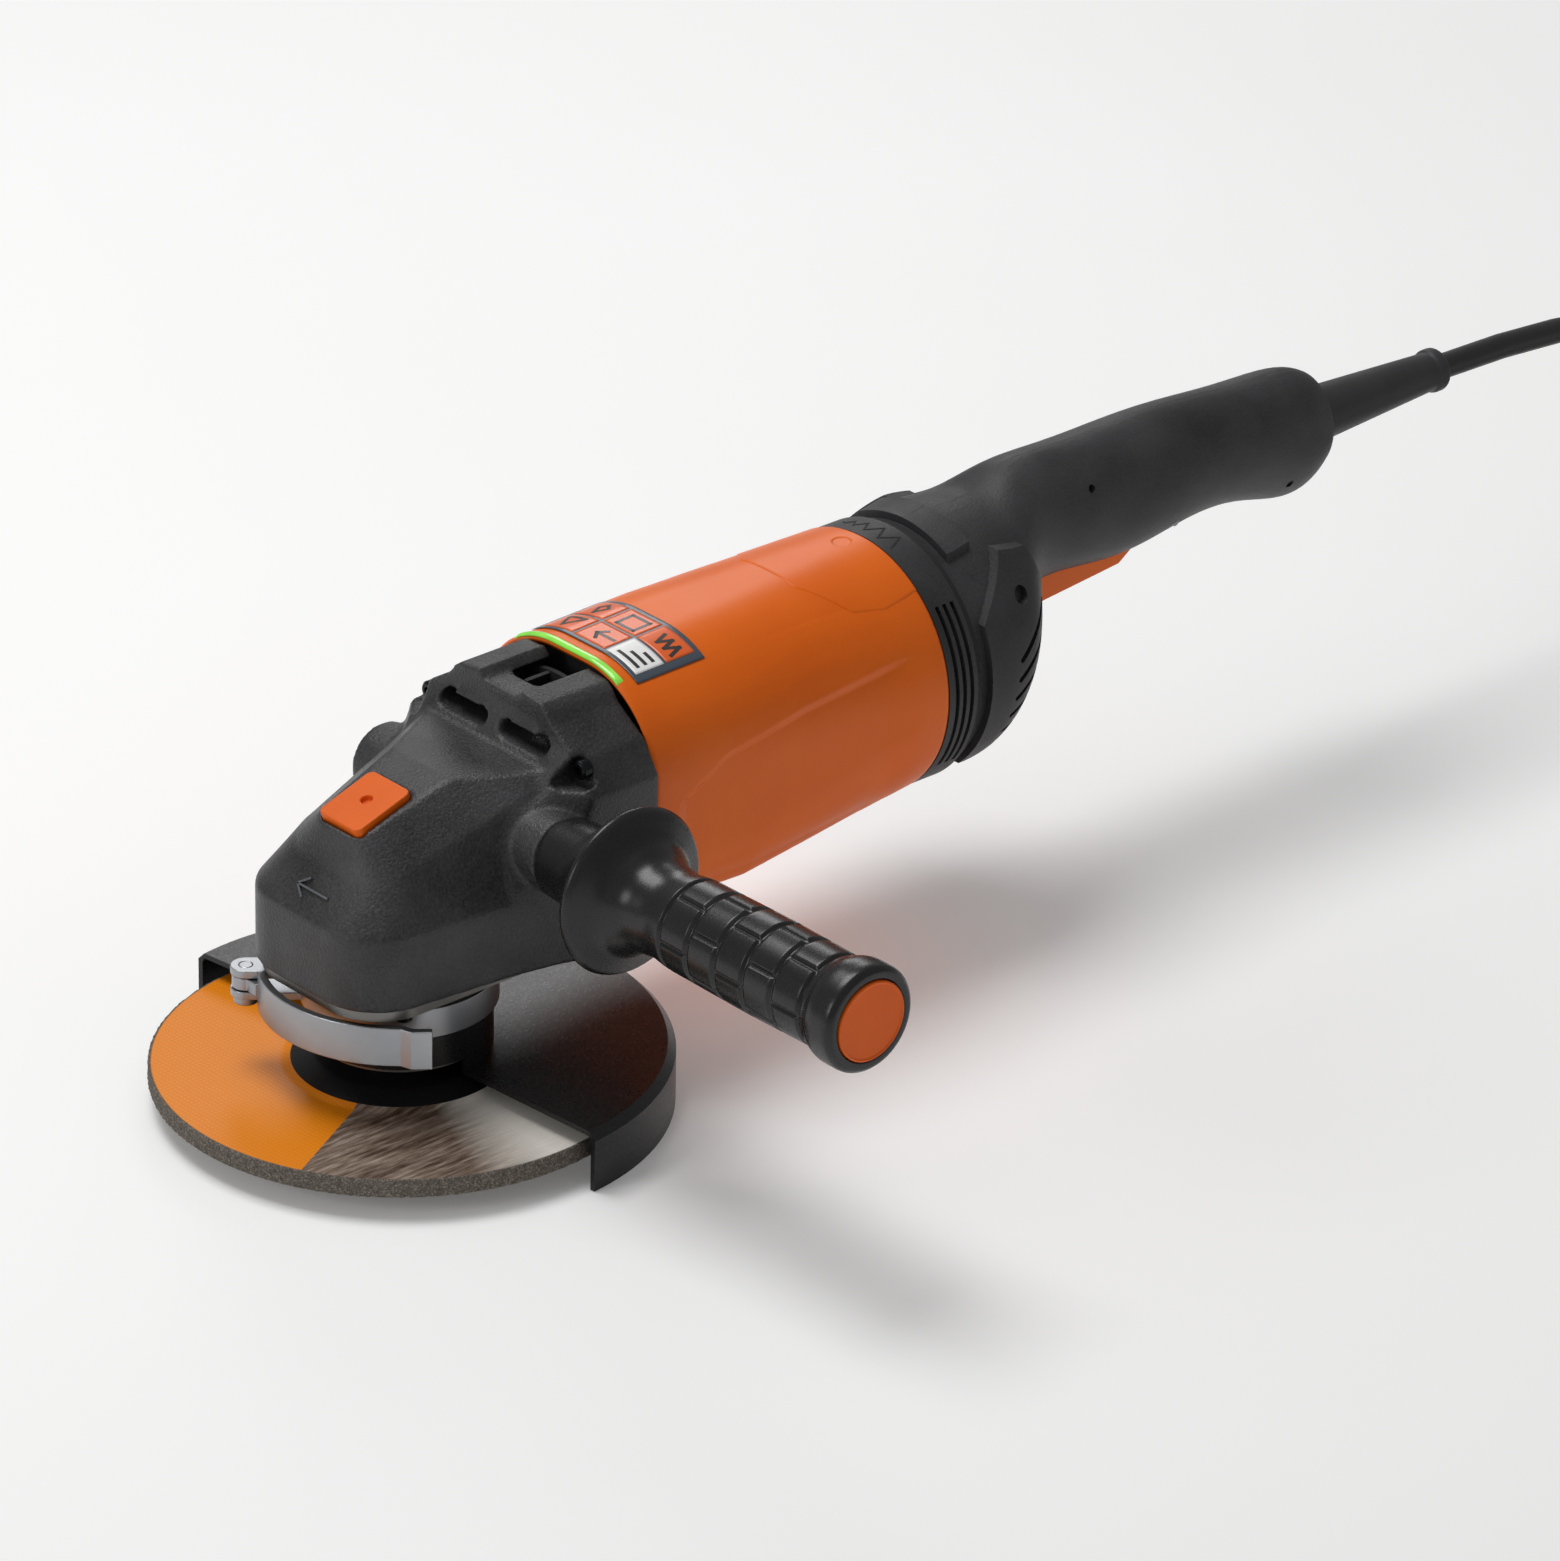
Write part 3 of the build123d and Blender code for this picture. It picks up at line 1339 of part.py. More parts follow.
# The lever's hub sits between the band's ears; its blade follows the band round the front.
hub_low = band_low + 3 + gap
hub_high = band_high - 3 - gap
blade_start_angle = pivot_angle + 9
blade_start = (lever_radius * cos(radians(blade_start_angle)), lever_radius * sin(radians(blade_start_angle)))
blade_end = radians(lever_end_angle)
blade_outward = Vector(cos(blade_end), sin(blade_end))
with BuildPart() as clamp_lever:
    with BuildSketch(Plane.XY.offset(lever_low)):
        with BuildLine():
            blade = CenterArc((0, 0), lever_radius, blade_start_angle, lever_end_angle - blade_start_angle - 9)
            tip = Line(blade @ 1, blade @ 1 + (blade % 1) * 3.4 + blade_outward * 2.6)
            Line(tip @ 1, tip @ 1 + (blade % 1) * 7.0)
        trace(line_width=lever_thick)
    extrude(amount=lever_high)
    with BuildSketch(Plane.XY.offset(hub_low)):
        with BuildLine():
            Line((pivot_x, pivot_y), blade_start)
        trace(line_width=5)
        with Locations((pivot_x, pivot_y)):
            Circle(5)
    extrude(amount=hub_high - hub_low)
    with BuildSketch(Plane.XY.offset(hub_low)):
        with Locations((pivot_x, pivot_y)):
            Circle(pin_radius + fit)
    extrude(amount=hub_high - hub_low, mode=Mode.SUBTRACT)
clamp_lever.part.label = "clamp_lever"
export_step(clamp_lever.part, "parts/clamp_lever.step")


# ---- Side handle --------------------------------------------------------------------
flange_radius = side_flange_dia / 2
grip_radius = side_grip_dia / 2
knob_radius = side_knob_dia / 2
end_cap_radius = side_cap_dia / 2
handle_base = side_face + gap
stud_in_handle = 24.0

with BuildPart() as side_handle:
    with BuildSketch(Plane.XY):
        with BuildLine():
            Polyline(
                (0, -handle_base),
                (15, -handle_base),
                (16, 18 - side_flange_y),
                (flange_radius - 1, 4 - side_flange_y),
                (flange_radius, 1.5 - side_flange_y),
                (flange_radius - 1.5, -0.5 - side_flange_y),
                (grip_radius + 3, -side_flange_y - 8),
                (grip_radius - 1, -side_flange_y - 17),
                (grip_radius, -side_flange_y - 30),
                (grip_radius + 0.8, 40 - side_end),
                (grip_radius, 16 - side_end),
                (knob_radius - 1, 12 - side_end),
                (knob_radius, 9 - side_end),
                (knob_radius, 2 - side_end),
                (knob_radius - 2, -side_end),
                (end_cap_radius, -side_end),
                (end_cap_radius, 3 - side_end),
                (0, 3 - side_end),
                close=True,
            )
        make_face()
    revolve(axis=Axis.Y)
    with BuildSketch(Plane.XZ.offset(handle_base)):
        Circle(thread_radius)
    extrude(amount=stud_in_handle, mode=Mode.SUBTRACT)
side_handle.part.position = (side_x, 0, axis_z)
side_handle.part.label = "side_handle_grip"
export_step(side_handle.part, "parts/side_handle_grip.step")

stud_deep = socket_deep - 2
with BuildPart() as handle_stud:
    with BuildSketch(Plane.XZ.offset(side_face - stud_deep)):
        with Locations((side_x, axis_z)):
            Circle(thread_radius - fit)
    extrude(amount=stud_deep + gap)
    with BuildSketch(Plane.XZ.offset(handle_base)):
        with Locations((side_x, axis_z)):
            Circle(thread_radius)
    extrude(amount=stud_in_handle)
handle_stud.part.label = "handle_stud"
export_step(handle_stud.part, "parts/handle_stud.step")

with BuildPart() as handle_cap:
    with BuildSketch(Plane.XZ.offset(side_end - 3)):
        with Locations((side_x, axis_z)):
            Circle(end_cap_radius - fit)
    extrude(amount=3.8)
    chamfer(handle_cap.faces().sort_by(Axis.Y)[0].edges(), 0.6)
handle_cap.part.label = "handle_cap"
export_step(handle_cap.part, "parts/handle_cap.step")


# ---- Switch paddle --------------------------------------------------------------------
paddle_pin_radius = paddle_pin_dia / 2
with BuildPart() as paddle:
    with BuildSketch(Plane.XZ.offset(-paddle_half)):
        with BuildLine():
            Polyline(
                (paddle_front, paddle_low + 1),
                (paddle_front + 2, paddle_low - 1),
                (342, paddle_low + 4),
                (350, paddle_low + 9.5),
                (paddle_rear - 3, paddle_pivot_z - 4),
                (paddle_rear - 1, paddle_pivot_z),
                (paddle_pivot_x, paddle_pivot_z + 4),
                (paddle_pivot_x - 8, paddle_pivot_z),
                (paddle_front, paddle_low + 10),
                close=True,
            )
        make_face()
    extrude(amount=2 * paddle_half)
    with BuildSketch(Plane.XZ.offset(-paddle_half)):
        with Locations((paddle_pivot_x, paddle_pivot_z)):
            Circle(paddle_pin_radius + fit)
    extrude(amount=2 * paddle_half, mode=Mode.SUBTRACT)
paddle.part.label = "switch_paddle"
export_step(paddle.part, "parts/switch_paddle.step")

with BuildPart() as paddle_pin:
    with BuildSketch(Plane.XZ.offset(-paddle_half - 5)):
        with Locations((paddle_pivot_x, paddle_pivot_z)):
            Circle(paddle_pin_radius)
    extrude(amount=2 * paddle_half + 10)
paddle_pin.part.label = "paddle_pin"
export_step(paddle_pin.part, "parts/paddle_pin.step")


# ---- Spindle lock ------------------------------------------------------------------------
with BuildPart() as lock_button:
    with BuildSketch(sloped(button_top)):
        with Locations((button_at, 0)):
            RectangleRounded(button_long, button_wide, 2.7)
    extrude(amount=-button_thick)
    with BuildSketch(sloped(button_top)):
        with Locations((button_at + 1, 0)):
            Circle(2.2)
    extrude(amount=-2, mode=Mode.SUBTRACT)
lock_button.part.label = "lock_button"
export_step(lock_button.part, "parts/lock_button.step")

with BuildPart() as lock_pin:
    with BuildSketch(sloped(button_top).offset(-button_thick)):
        with Locations((lock_pin_at, 0)):
            Circle(button_dia / 2)
    extrude(amount=-lock_pin_long)
lock_pin.part.label = "lock_pin"
export_step(lock_pin.part, "parts/lock_pin.step")
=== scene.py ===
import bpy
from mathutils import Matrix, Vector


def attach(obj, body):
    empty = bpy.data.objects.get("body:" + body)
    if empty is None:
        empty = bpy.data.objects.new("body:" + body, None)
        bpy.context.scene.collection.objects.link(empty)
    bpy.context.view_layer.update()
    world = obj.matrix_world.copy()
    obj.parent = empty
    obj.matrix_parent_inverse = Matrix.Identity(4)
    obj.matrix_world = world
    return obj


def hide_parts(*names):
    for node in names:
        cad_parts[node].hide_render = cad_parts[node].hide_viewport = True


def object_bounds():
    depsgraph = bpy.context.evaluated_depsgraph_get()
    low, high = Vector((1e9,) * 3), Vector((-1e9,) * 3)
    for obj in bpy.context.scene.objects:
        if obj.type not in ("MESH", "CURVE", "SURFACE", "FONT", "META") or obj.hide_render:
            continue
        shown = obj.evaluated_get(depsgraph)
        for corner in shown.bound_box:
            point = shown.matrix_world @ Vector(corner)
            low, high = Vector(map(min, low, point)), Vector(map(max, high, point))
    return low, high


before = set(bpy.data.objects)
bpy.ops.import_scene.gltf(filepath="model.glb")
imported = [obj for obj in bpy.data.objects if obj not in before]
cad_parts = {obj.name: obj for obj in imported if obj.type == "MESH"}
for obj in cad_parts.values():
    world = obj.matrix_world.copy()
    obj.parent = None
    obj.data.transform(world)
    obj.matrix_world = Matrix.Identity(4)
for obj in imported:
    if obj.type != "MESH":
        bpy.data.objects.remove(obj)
cad_box = [list(corner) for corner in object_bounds()]

import bmesh
import bpy
import numpy as np
from mathutils import Matrix, Vector

# ---- Studio ---------------------------------------------------------------
# A pale matt floor under the grinder, a white room for soft light, and three soft boxes:
# a broad one overhead, one low at the left for the nose, and a weak one behind the cord.
mm = 0.001


def linear(code):
    """An sRGB hex colour as linear RGBA, by the sRGB curve."""
    channels = [int(code[i : i + 2], 16) / 255 for i in (1, 3, 5)]
    return [c / 12.92 if c <= 0.04045 else ((c + 0.055) / 1.055) ** 2.4 for c in channels] + [1.0]


def add(tree, kind, inputs=None, **settings):
    """Adds one shader node: settings are its properties, inputs its values or links by socket."""
    made = tree.nodes.new("ShaderNode" + kind)
    for name, value in settings.items():
        setattr(made, name, value)
    for socket, value in (inputs or {}).items():
        if isinstance(value, bpy.types.NodeSocket):
            tree.links.new(value, made.inputs[socket])
        else:
            made.inputs[socket].default_value = value
    return made


def new_material(name):
    """An empty material with a Principled shader, whose tree and shader are returned with it."""
    material = bpy.data.materials.new(name)
    material.use_nodes = True
    tree = material.node_tree
    tree.nodes.clear()
    shader = add(tree, "BsdfPrincipled")
    add(tree, "OutputMaterial", {"Surface": shader.outputs[0]})
    return material, tree, shader


def soft_box(name, place, aim, size, power, colour="#FFFFFF"):
    """A square area light at place that shines at aim."""
    data = bpy.data.lights.new(name, "AREA")
    data.size = size
    data.energy = power
    data.color = linear(colour)[:3]
    lamp = bpy.data.objects.new(name, data)
    lamp.location = place
    lamp.rotation_euler = (Vector(aim) - Vector(place)).to_track_quat("-Z", "Y").to_euler()
    bpy.context.scene.collection.objects.link(lamp)


ground = cad_box[0][2]
floor_half = 9.0
floor_mesh = bpy.data.meshes.new("floor")
floor_drop = 0.2 * mm
corner_signs = ((-1, -1), (1, -1), (1, 1), (-1, 1))
floor_corners = [(x * floor_half, y * floor_half, ground - floor_drop) for x, y in corner_signs]
floor_mesh.from_pydata(floor_corners, [], [(0, 1, 2, 3)])
floor = bpy.data.objects.new("floor", floor_mesh)
bpy.context.scene.collection.objects.link(floor)

# Seamless paper: matt, almost white, with a faint mottle that keeps it from looking like a void.
paper, tree, shader = new_material("seamless_paper")
where = add(tree, "TexCoord")
mottle = add(tree, "TexNoise", {"Vector": where.outputs["Object"], "Scale": 3.0, "Detail": 2.0})
tone = add(tree, "ValToRGB", {"Fac": mottle.outputs["Fac"]})
tone.color_ramp.elements[0].color = linear("#F6F6F5")
tone.color_ramp.elements[1].color = linear("#FAFAFA")
tree.links.new(tone.outputs["Color"], shader.inputs["Base Color"])
shader.inputs["Roughness"].default_value = 0.95
shader.inputs["Emission Color"].default_value = linear("#FFFFFF")
shader.inputs["Emission Strength"].default_value = 0.1
shader.inputs["Specular IOR Level"].default_value = 0.1
floor_mesh.materials.append(paper)

world = bpy.data.worlds.new("white_room")
bpy.context.scene.world = world
world.use_nodes = True
world.node_tree.nodes["Background"].inputs["Color"].default_value = linear("#FFFFFF")
world.node_tree.nodes["Background"].inputs["Strength"].default_value = 0.28

soft_box("overhead_box", (-0.1, 0.7, 2.1), (0.15, 0, 0.1), 1.1, 27)
soft_box("left_box", (-2.0, 0.3, 1.0), (0, 0, 0.08), 0.8, 8)
soft_box("far_box", (1.5, 1.6, 1.2), (0.3, 0, 0.1), 0.7, 5)

# A long lens seen from the nose's left front, a little above.
camera_data = bpy.data.cameras.new("camera")
camera_data.sensor_width = 36.0
camera_data.lens = 207.6923
camera_data.clip_end = 50
camera = bpy.data.objects.new("camera", camera_data)
camera_right = Vector((0.74417, -0.66775, 0.01771))
camera_up = Vector((0.28968, 0.34649, 0.89220))
camera_back = Vector((-0.60190, -0.65883, 0.45129))
camera_place = Matrix((camera_right, camera_up, camera_back)).transposed().to_4x4()
camera_place.translation = Vector((-1.80242, -2.17084, 1.54583))
camera.matrix_world = camera_place
bpy.context.scene.collection.objects.link(camera)
bpy.context.scene.camera = camera
bpy.context.scene.view_settings.view_transform = "Standard"

# ---- Mains cord -------------------------------------------------------------
# Heavy rubber-sheathed cable, five metres long. It leaves the sleeve, drops to the ground, and
# the rest is wound into a neat coil of twelve turns with the plug lying beside it.
cord_diameter = 10.0
coil_centre = (668.0, -96.0)
coil_inner = 50.0
coil_columns = 3
coil_layers = 4
coil_entry = np.radians(-44.0)
coil_exit = np.radians(-90.0)
points_per_turn = 16
ground_line = ground / mm + cord_diameter / 2

cord_start = [
    (519, 0, 127),
    (594, 0, 127),
    (676, -4, 104),
    (732, -18, 56),
    (744, -62, 14),
    (738, -104, -3),
]
cord_finish = [
    (640, -171, 22),
    (612, -180, 10),
    (590, -184, 5),
]


def wound_turns():
    """Points of the coil: each turn keeps its radius and layer until its last sixth, where it moves to the
    next place. The radius is divided by the cosine of half a step, as a quadratic spline runs inside."""
    turns = coil_columns * coil_layers
    steps = int(round((turns + (coil_entry - coil_exit) / (2 * np.pi)) * points_per_turn))
    count = np.arange(0, steps + 1) / points_per_turn
    whole = np.minimum(count.astype(int), turns - 1)
    shift = np.clip((count - whole - 5 / 6) * 6, 0, 1)
    shift = np.where(whole == turns - 1, 0, shift)

    def place(turn):
        layer = turn // coil_columns
        column = turn % coil_columns
        inward = coil_inner + cord_diameter * (coil_columns - 1 - column)
        outward = coil_inner + cord_diameter * column
        return np.where(layer % 2 == 0, inward, outward), ground_line + cord_diameter * layer

    radius, level = place(whole)
    next_radius, next_level = place(whole + 1)
    radius = radius * (1 - shift) + next_radius * shift
    level = level * (1 - shift) + next_level * shift
    radius = radius / np.cos(np.pi / points_per_turn)
    angle = coil_entry - 2 * np.pi * count
    x = coil_centre[0] + radius * np.cos(angle)
    y = coil_centre[1] + radius * np.sin(angle)
    return np.stack([x, y, level], 1)


cord_points = np.concatenate([cord_start, wound_turns(), cord_finish]) * mm
cord_data = bpy.data.curves.new("mains_cord", "CURVE")
cord_data.dimensions = "3D"
spline = cord_data.splines.new("NURBS")
spline.points.add(len(cord_points) - 1)
spline.points.foreach_set("co", np.column_stack([cord_points, np.ones(len(cord_points))]).ravel())
spline.order_u = 3
spline.use_endpoint_u = True
spline.resolution_u = 4
cord_data.bevel_depth = cord_diameter / 2 * mm
cord_data.bevel_resolution = 5
cord_data.use_fill_caps = True
mains_cord = bpy.data.objects.new("mains_cord", cord_data)
bpy.context.scene.collection.objects.link(mains_cord)


def finish(
    name, colour, dark, roughness, grain, depth, metallic=0.0, patch=35.0, stretch=(1, 1, 1), gloss=0.5
):
    """A moulded, cast or ground surface. The colour wanders between two tones over patches, and the grain,
    in millimetres from bump to bump, is raised by depth, in millimetres, and varies the roughness. The grain
    also shifts the colour as painted shade and light: darker in its hollows, lighter on its raised tops."""
    material, tree, shader = new_material(name)
    where = add(tree, "TexCoord")
    drawn = add(tree, "Mapping", {"Vector": where.outputs["Object"], "Scale": stretch})
    clouds = add(tree, "TexNoise", {"Vector": where.outputs["Object"], "Scale": 1 / (patch * mm)})
    clouds.inputs["Detail"].default_value = 3.0
    grit = add(tree, "TexNoise", {"Vector": drawn.outputs[0], "Scale": 1 / (grain * mm)})
    grit.inputs["Detail"].default_value = 2.0
    grit.inputs["Roughness"].default_value = 0.6
    # Painted shade: the grain's height also moves the colour, darker in its hollows and lighter on its tops.
    grain_painted_shade = add(tree, "Math", {0: grit.outputs["Fac"], 1: 0.35}, operation="MULTIPLY")
    blend = add(tree, "Math", {0: clouds.outputs["Fac"], 1: 0.65}, operation="MULTIPLY_ADD")
    tree.links.new(grain_painted_shade.outputs[0], blend.inputs[2])
    tone = add(tree, "ValToRGB", {"Fac": blend.outputs[0]})
    tone.color_ramp.elements[0].position = 0.35
    tone.color_ramp.elements[0].color = linear(dark)
    tone.color_ramp.elements[1].position = 0.65
    tone.color_ramp.elements[1].color = linear(colour)
    tree.links.new(tone.outputs["Color"], shader.inputs["Base Color"])
    rough = add(tree, "MapRange", {"Value": grit.outputs["Fac"], "From Min": 0.3, "From Max": 0.7})
    rough.inputs["To Min"].default_value = roughness * 0.85
    rough.inputs["To Max"].default_value = min(1.0, roughness * 1.15)
    tree.links.new(rough.outputs["Result"], shader.inputs["Roughness"])
    bump = add(tree, "Bump", {"Height": grit.outputs["Fac"], "Distance": depth * mm, "Strength": 1.0})
    tree.links.new(bump.outputs["Normal"], shader.inputs["Normal"])
    shader.inputs["Metallic"].default_value = metallic
    shader.inputs["Specular IOR Level"].default_value = gloss
    return material


# Chloroprene rubber sheath: matt black with a fine talc-grey bloom along the turns.
cord_rubber = finish("chloroprene_sheath", "#232325", "#1C1C1E", 0.5, 0.8, 0.03)
cord_data.materials.append(cord_rubber)
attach(mains_cord, "housing")
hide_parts("cord_tube", "cord_coil", "cord_tail")

# ---- Spindle, flanges and gears ---------------------------------------------
# Case-hardened steel turned and ground, then left bright: spindle, crown gear and pinion. They run
# in ball and needle bearings of polished bearing steel, pressed into the head.


def dress(material, *names):
    """Gives CAD nodes their finish, whose shapes are right as they are."""
    for name in names:
        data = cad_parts[name].data
        data.materials.clear()
        data.materials.append(material)


def merged_copy(name):
    """The mesh of a CAD node with its loose triangles joined, as a bmesh that its caller frees."""
    mesh = bmesh.new()
    mesh.from_mesh(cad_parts[name].data)
    bmesh.ops.remove_doubles(mesh, verts=mesh.verts, dist=0.002 * mm)
    bmesh.ops.dissolve_limit(mesh, angle_limit=np.radians(1.0), verts=mesh.verts, edges=mesh.edges)
    return mesh


def eased(piece_name, cad_name, width, material, body):
    """A CAD node again, with its sharp edges broken by a bevel of that width in millimetres."""
    mesh = merged_copy(cad_name)
    data = bpy.data.meshes.new(piece_name)
    mesh.to_mesh(data)
    mesh.free()
    data.materials.append(material)
    piece = bpy.data.objects.new(piece_name, data)
    bpy.context.scene.collection.objects.link(piece)
    bevel = piece.modifiers.new("edges", "BEVEL")
    bevel.width = width * mm
    bevel.segments = 2
    bevel.limit_method = "ANGLE"
    bevel.angle_limit = np.radians(28)
    bevel.use_clamp_overlap = True
    bevel.harden_normals = True
    data.shade_smooth()
    piece.modifiers.new("flats", "WEIGHTED_NORMAL").keep_sharp = True
    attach(piece, body)
    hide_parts(cad_name)
    return piece


ground_steel = finish("ground_hardened_steel", "#9B9DA0", "#85878B", 0.3, 0.5, 0.01, 1.0, stretch=(1, 1, 8))
bearing_steel = finish("polished_bearing_steel", "#B4B6B9", "#A4A6AA", 0.2, 0.4, 0.005, 1.0)
dress(ground_steel, "spindle", "crown_gear", "pinion", "armature_shaft")
dress(bearing_steel, "spindle_bearing_outer", "spindle_bearing_inner", "needle_bearing")
dress(bearing_steel, "armature_front_bearing", "armature_rear_bearing")
# Clamping flange and nut: turned steel, phosphated dark grey.
phosphated_steel = finish("phosphated_steel", "#55575A", "#434548", 0.42, 0.7, 0.02, 0.85)
dress(phosphated_steel, "inner_flange")
eased("clamp_nut_turned", "clamp_nut", 0.5, phosphated_steel, "spindle")

# ---- Grinding disc ------------------------------------------------------------
# A depressed-centre disc of bonded grit with glass-fibre nets, 180 by 7 mm. A printed film covers the
# upper face: a plain orange sector and a sector printed like ground metal, round a black hub ring.
disc_radius = 90.0
disc_thick = 7.0
hub_radius = 31.0
hub_rise = 4.6
bush_radius = 12.6
rim_round = 0.9
film_radius = 88.6
hub_print_radius = 39.0
grit_size = 0.55


def soften(points, reach, steps=5):
    """Rounds each corner of a closed outline: a quadratic curve from reach before the corner to reach after
    it, or to a third of the way along a shorter side."""
    points = np.asarray(points, float)
    before = np.roll(points, 1, 0) - points
    after = np.roll(points, -1, 0) - points
    size_before = np.linalg.norm(before, axis=1, keepdims=True)
    size_after = np.linalg.norm(after, axis=1, keepdims=True)
    start = points + before / size_before * np.minimum(reach, size_before / 3)
    end = points + after / size_after * np.minimum(reach, size_after / 3)
    t = np.linspace(0, 1, steps)[None, :, None]
    curve = start[:, None] * (1 - t) ** 2 + 2 * points[:, None] * t * (1 - t) + end[:, None] * t**2
    return curve.reshape(-1, 2)


def refine(outline, spacing):
    """A closed outline with points no further apart than spacing, by straight steps between its own."""
    pieces = []
    for here, there in zip(outline, np.roll(outline, -1, 0)):
        count = max(1, int(np.ceil(np.linalg.norm(there - here) / spacing)))
        pieces.append(here + (there - here) * (np.arange(count) / count)[:, None])
    return np.concatenate(pieces)


def grid_mesh(name, points, close_rows, close_columns, material):
    """A mesh of quads over a grid of points in millimetres, rows by columns by 3, joined up where asked. Its
    normals are then made to face outwards."""
    rows, columns = points.shape[:2]
    index = np.arange(rows * columns).reshape(rows, columns)
    if close_rows:
        index = np.vstack([index, index[:1]])
    if close_columns:
        index = np.hstack([index, index[:, :1]])
    quads = np.stack([index[:-1, :-1], index[1:, :-1], index[1:, 1:], index[:-1, 1:]], -1).reshape(-1, 4)
    data = bpy.data.meshes.new(name)
    data.from_pydata((points.reshape(-1, 3) * mm).tolist(), [], quads.tolist())
    mesh = bmesh.new()
    mesh.from_mesh(data)
    bmesh.ops.remove_doubles(mesh, verts=mesh.verts, dist=0.001 * mm)
    bmesh.ops.recalc_face_normals(mesh, faces=mesh.faces)
    mesh.to_mesh(data)
    mesh.free()
    data.materials.append(material)
    data.shade_smooth()
    piece = bpy.data.objects.new(name, data)
    bpy.context.scene.collection.objects.link(piece)
    return piece


def thicken(piece, thickness):
    """Gives an open skin its wall, inwards from the surface, in millimetres."""
    wall = piece.modifiers.new("wall", "SOLIDIFY")
    wall.thickness = thickness * mm
    wall.offset = -1


def turned(outline, count, axis="Z", centre=(0, 0, 0)):
    """Points of an outline of (radius, height) turned about an axis in count equal steps."""
    angle = np.linspace(0, 2 * np.pi, count, endpoint=False)[None, :]
    radius = outline[:, :1]
    along = np.broadcast_to(outline[:, 1:2], (len(outline), count))
    first = radius * np.cos(angle)
    second = radius * np.sin(angle)
    order = {"Z": (first, second, along), "Y": (second, along, first), "X": (along, first, second)}
    return np.stack(order[axis], -1) + np.array(centre, float)


def ripple(points, size, seed):
    """Smooth random values from -1 to 1 for points in millimetres: sums of sine waves whose directions are
    drawn once and whose wavelengths are about size."""
    draw = np.random.default_rng(seed)
    total = np.zeros(points.shape[:-1])
    for _ in range(9):
        direction = draw.normal(size=3)
        direction = direction / np.linalg.norm(direction) * 2 * np.pi / (size * draw.uniform(0.7, 1.5))
        total = total + np.sin(points @ direction + draw.uniform(0, 2 * np.pi))
    return total / 4


disc_outline = refine(
    soften(
        [
            (bush_radius, hub_rise),
            (hub_radius - 3, hub_rise),
            (hub_radius + 8, 0),
            (disc_radius, 0),
            (disc_radius, disc_thick),
            (hub_radius + 11, disc_thick),
            (hub_radius, disc_thick + hub_rise),
            (bush_radius, disc_thick + hub_rise),
        ],
        rim_round,
    ),
    1.2,
)
disc_points = turned(disc_outline, 720)
reach = np.linalg.norm(disc_points[..., :2], axis=-1)
on_rim = np.clip((reach - film_radius) / 1.0, 0, 1)
under = np.clip((1.0 - disc_points[..., 2]) / 1.0, 0, 1) * (reach > hub_radius + 8)
rough_rim = ripple(disc_points, 2.6, 3) * 0.18 + ripple(disc_points, 1.3, 4) * 0.12
bitten = on_rim * (rough_rim - 0.35)
disc_points[..., :2] *= (1 + bitten / reach)[..., None]
disc_points[..., 2] += under * (0.25 + rough_rim * 0.5) * np.where(reach < disc_radius - 1, 1, 0)

# Bonded corundum under a printed film. The film is smooth with a slight gloss and shows the nets' weave,
# and the bare grit at the rim is coarse and matt grey-brown.
bonded_grit, tree, shader = new_material("printed_bonded_corundum")
where = add(tree, "TexCoord")
parts = add(tree, "SeparateXYZ", {"Vector": where.outputs["Object"]})
flat = add(tree, "CombineXYZ", {"X": parts.outputs["X"], "Y": parts.outputs["Y"]})
distance = add(tree, "VectorMath", {0: flat.outputs[0]}, operation="LENGTH")
turn = add(tree, "Math", {0: parts.outputs["Y"], 1: parts.outputs["X"]}, operation="ARCTAN2")
grit = add(tree, "TexVoronoi", {"Vector": where.outputs["Object"], "Scale": 1 / (grit_size * mm)})
bare = add(tree, "ValToRGB", {"Fac": grit.outputs["Color"]})
bare.color_ramp.elements[0].color = linear("#4A443E")
bare.color_ramp.elements[1].color = linear("#948A80")
grey_grain = bare.color_ramp.elements.new(0.6)
grey_grain.color = linear("#6B645C")
weave_size = 1.9
weave_scale = 1 / (weave_size * mm) / 6.28 * 2
weave_inputs = {"Vector": where.outputs["Object"], "Scale": weave_scale, "Distortion": 1.5}
weave = add(tree, "TexWave", weave_inputs)
weave_across = add(tree, "TexWave", weave_inputs, bands_direction="Y")
net = add(tree, "Math", {0: weave.outputs["Fac"], 1: weave_across.outputs["Fac"]}, operation="MULTIPLY")
tint = add(tree, "ValToRGB", {"Fac": net.outputs[0]})
tint.color_ramp.elements[0].color = linear("#EA850A")
tint.color_ramp.elements[1].color = linear("#F28F12")
# The printed sector: planks of grey-brown brushing. A painted highlight turns part of it pale, and towards
# the guard, where the painted highlight is absent, it stays darker.
skewed = add(tree, "Mapping", {"Vector": where.outputs["Object"], "Scale": (1, 9, 1)})
skewed.inputs["Rotation"].default_value = (0, 0, np.radians(62))
brushing = add(tree, "TexNoise", {"Vector": skewed.outputs[0], "Scale": 60.0, "Detail": 6.0})
brushing.inputs["Roughness"].default_value = 0.65
print_tone = add(tree, "ValToRGB", {"Fac": brushing.outputs["Fac"]})
print_tone.color_ramp.elements[0].position = 0.32
print_tone.color_ramp.elements[0].color = linear("#3E2C22")
print_tone.color_ramp.elements[1].position = 0.72
print_tone.color_ramp.elements[1].color = linear("#B9AA9C")
warm_streak = print_tone.color_ramp.elements.new(0.5)
warm_streak.color = linear("#7D6A5C")
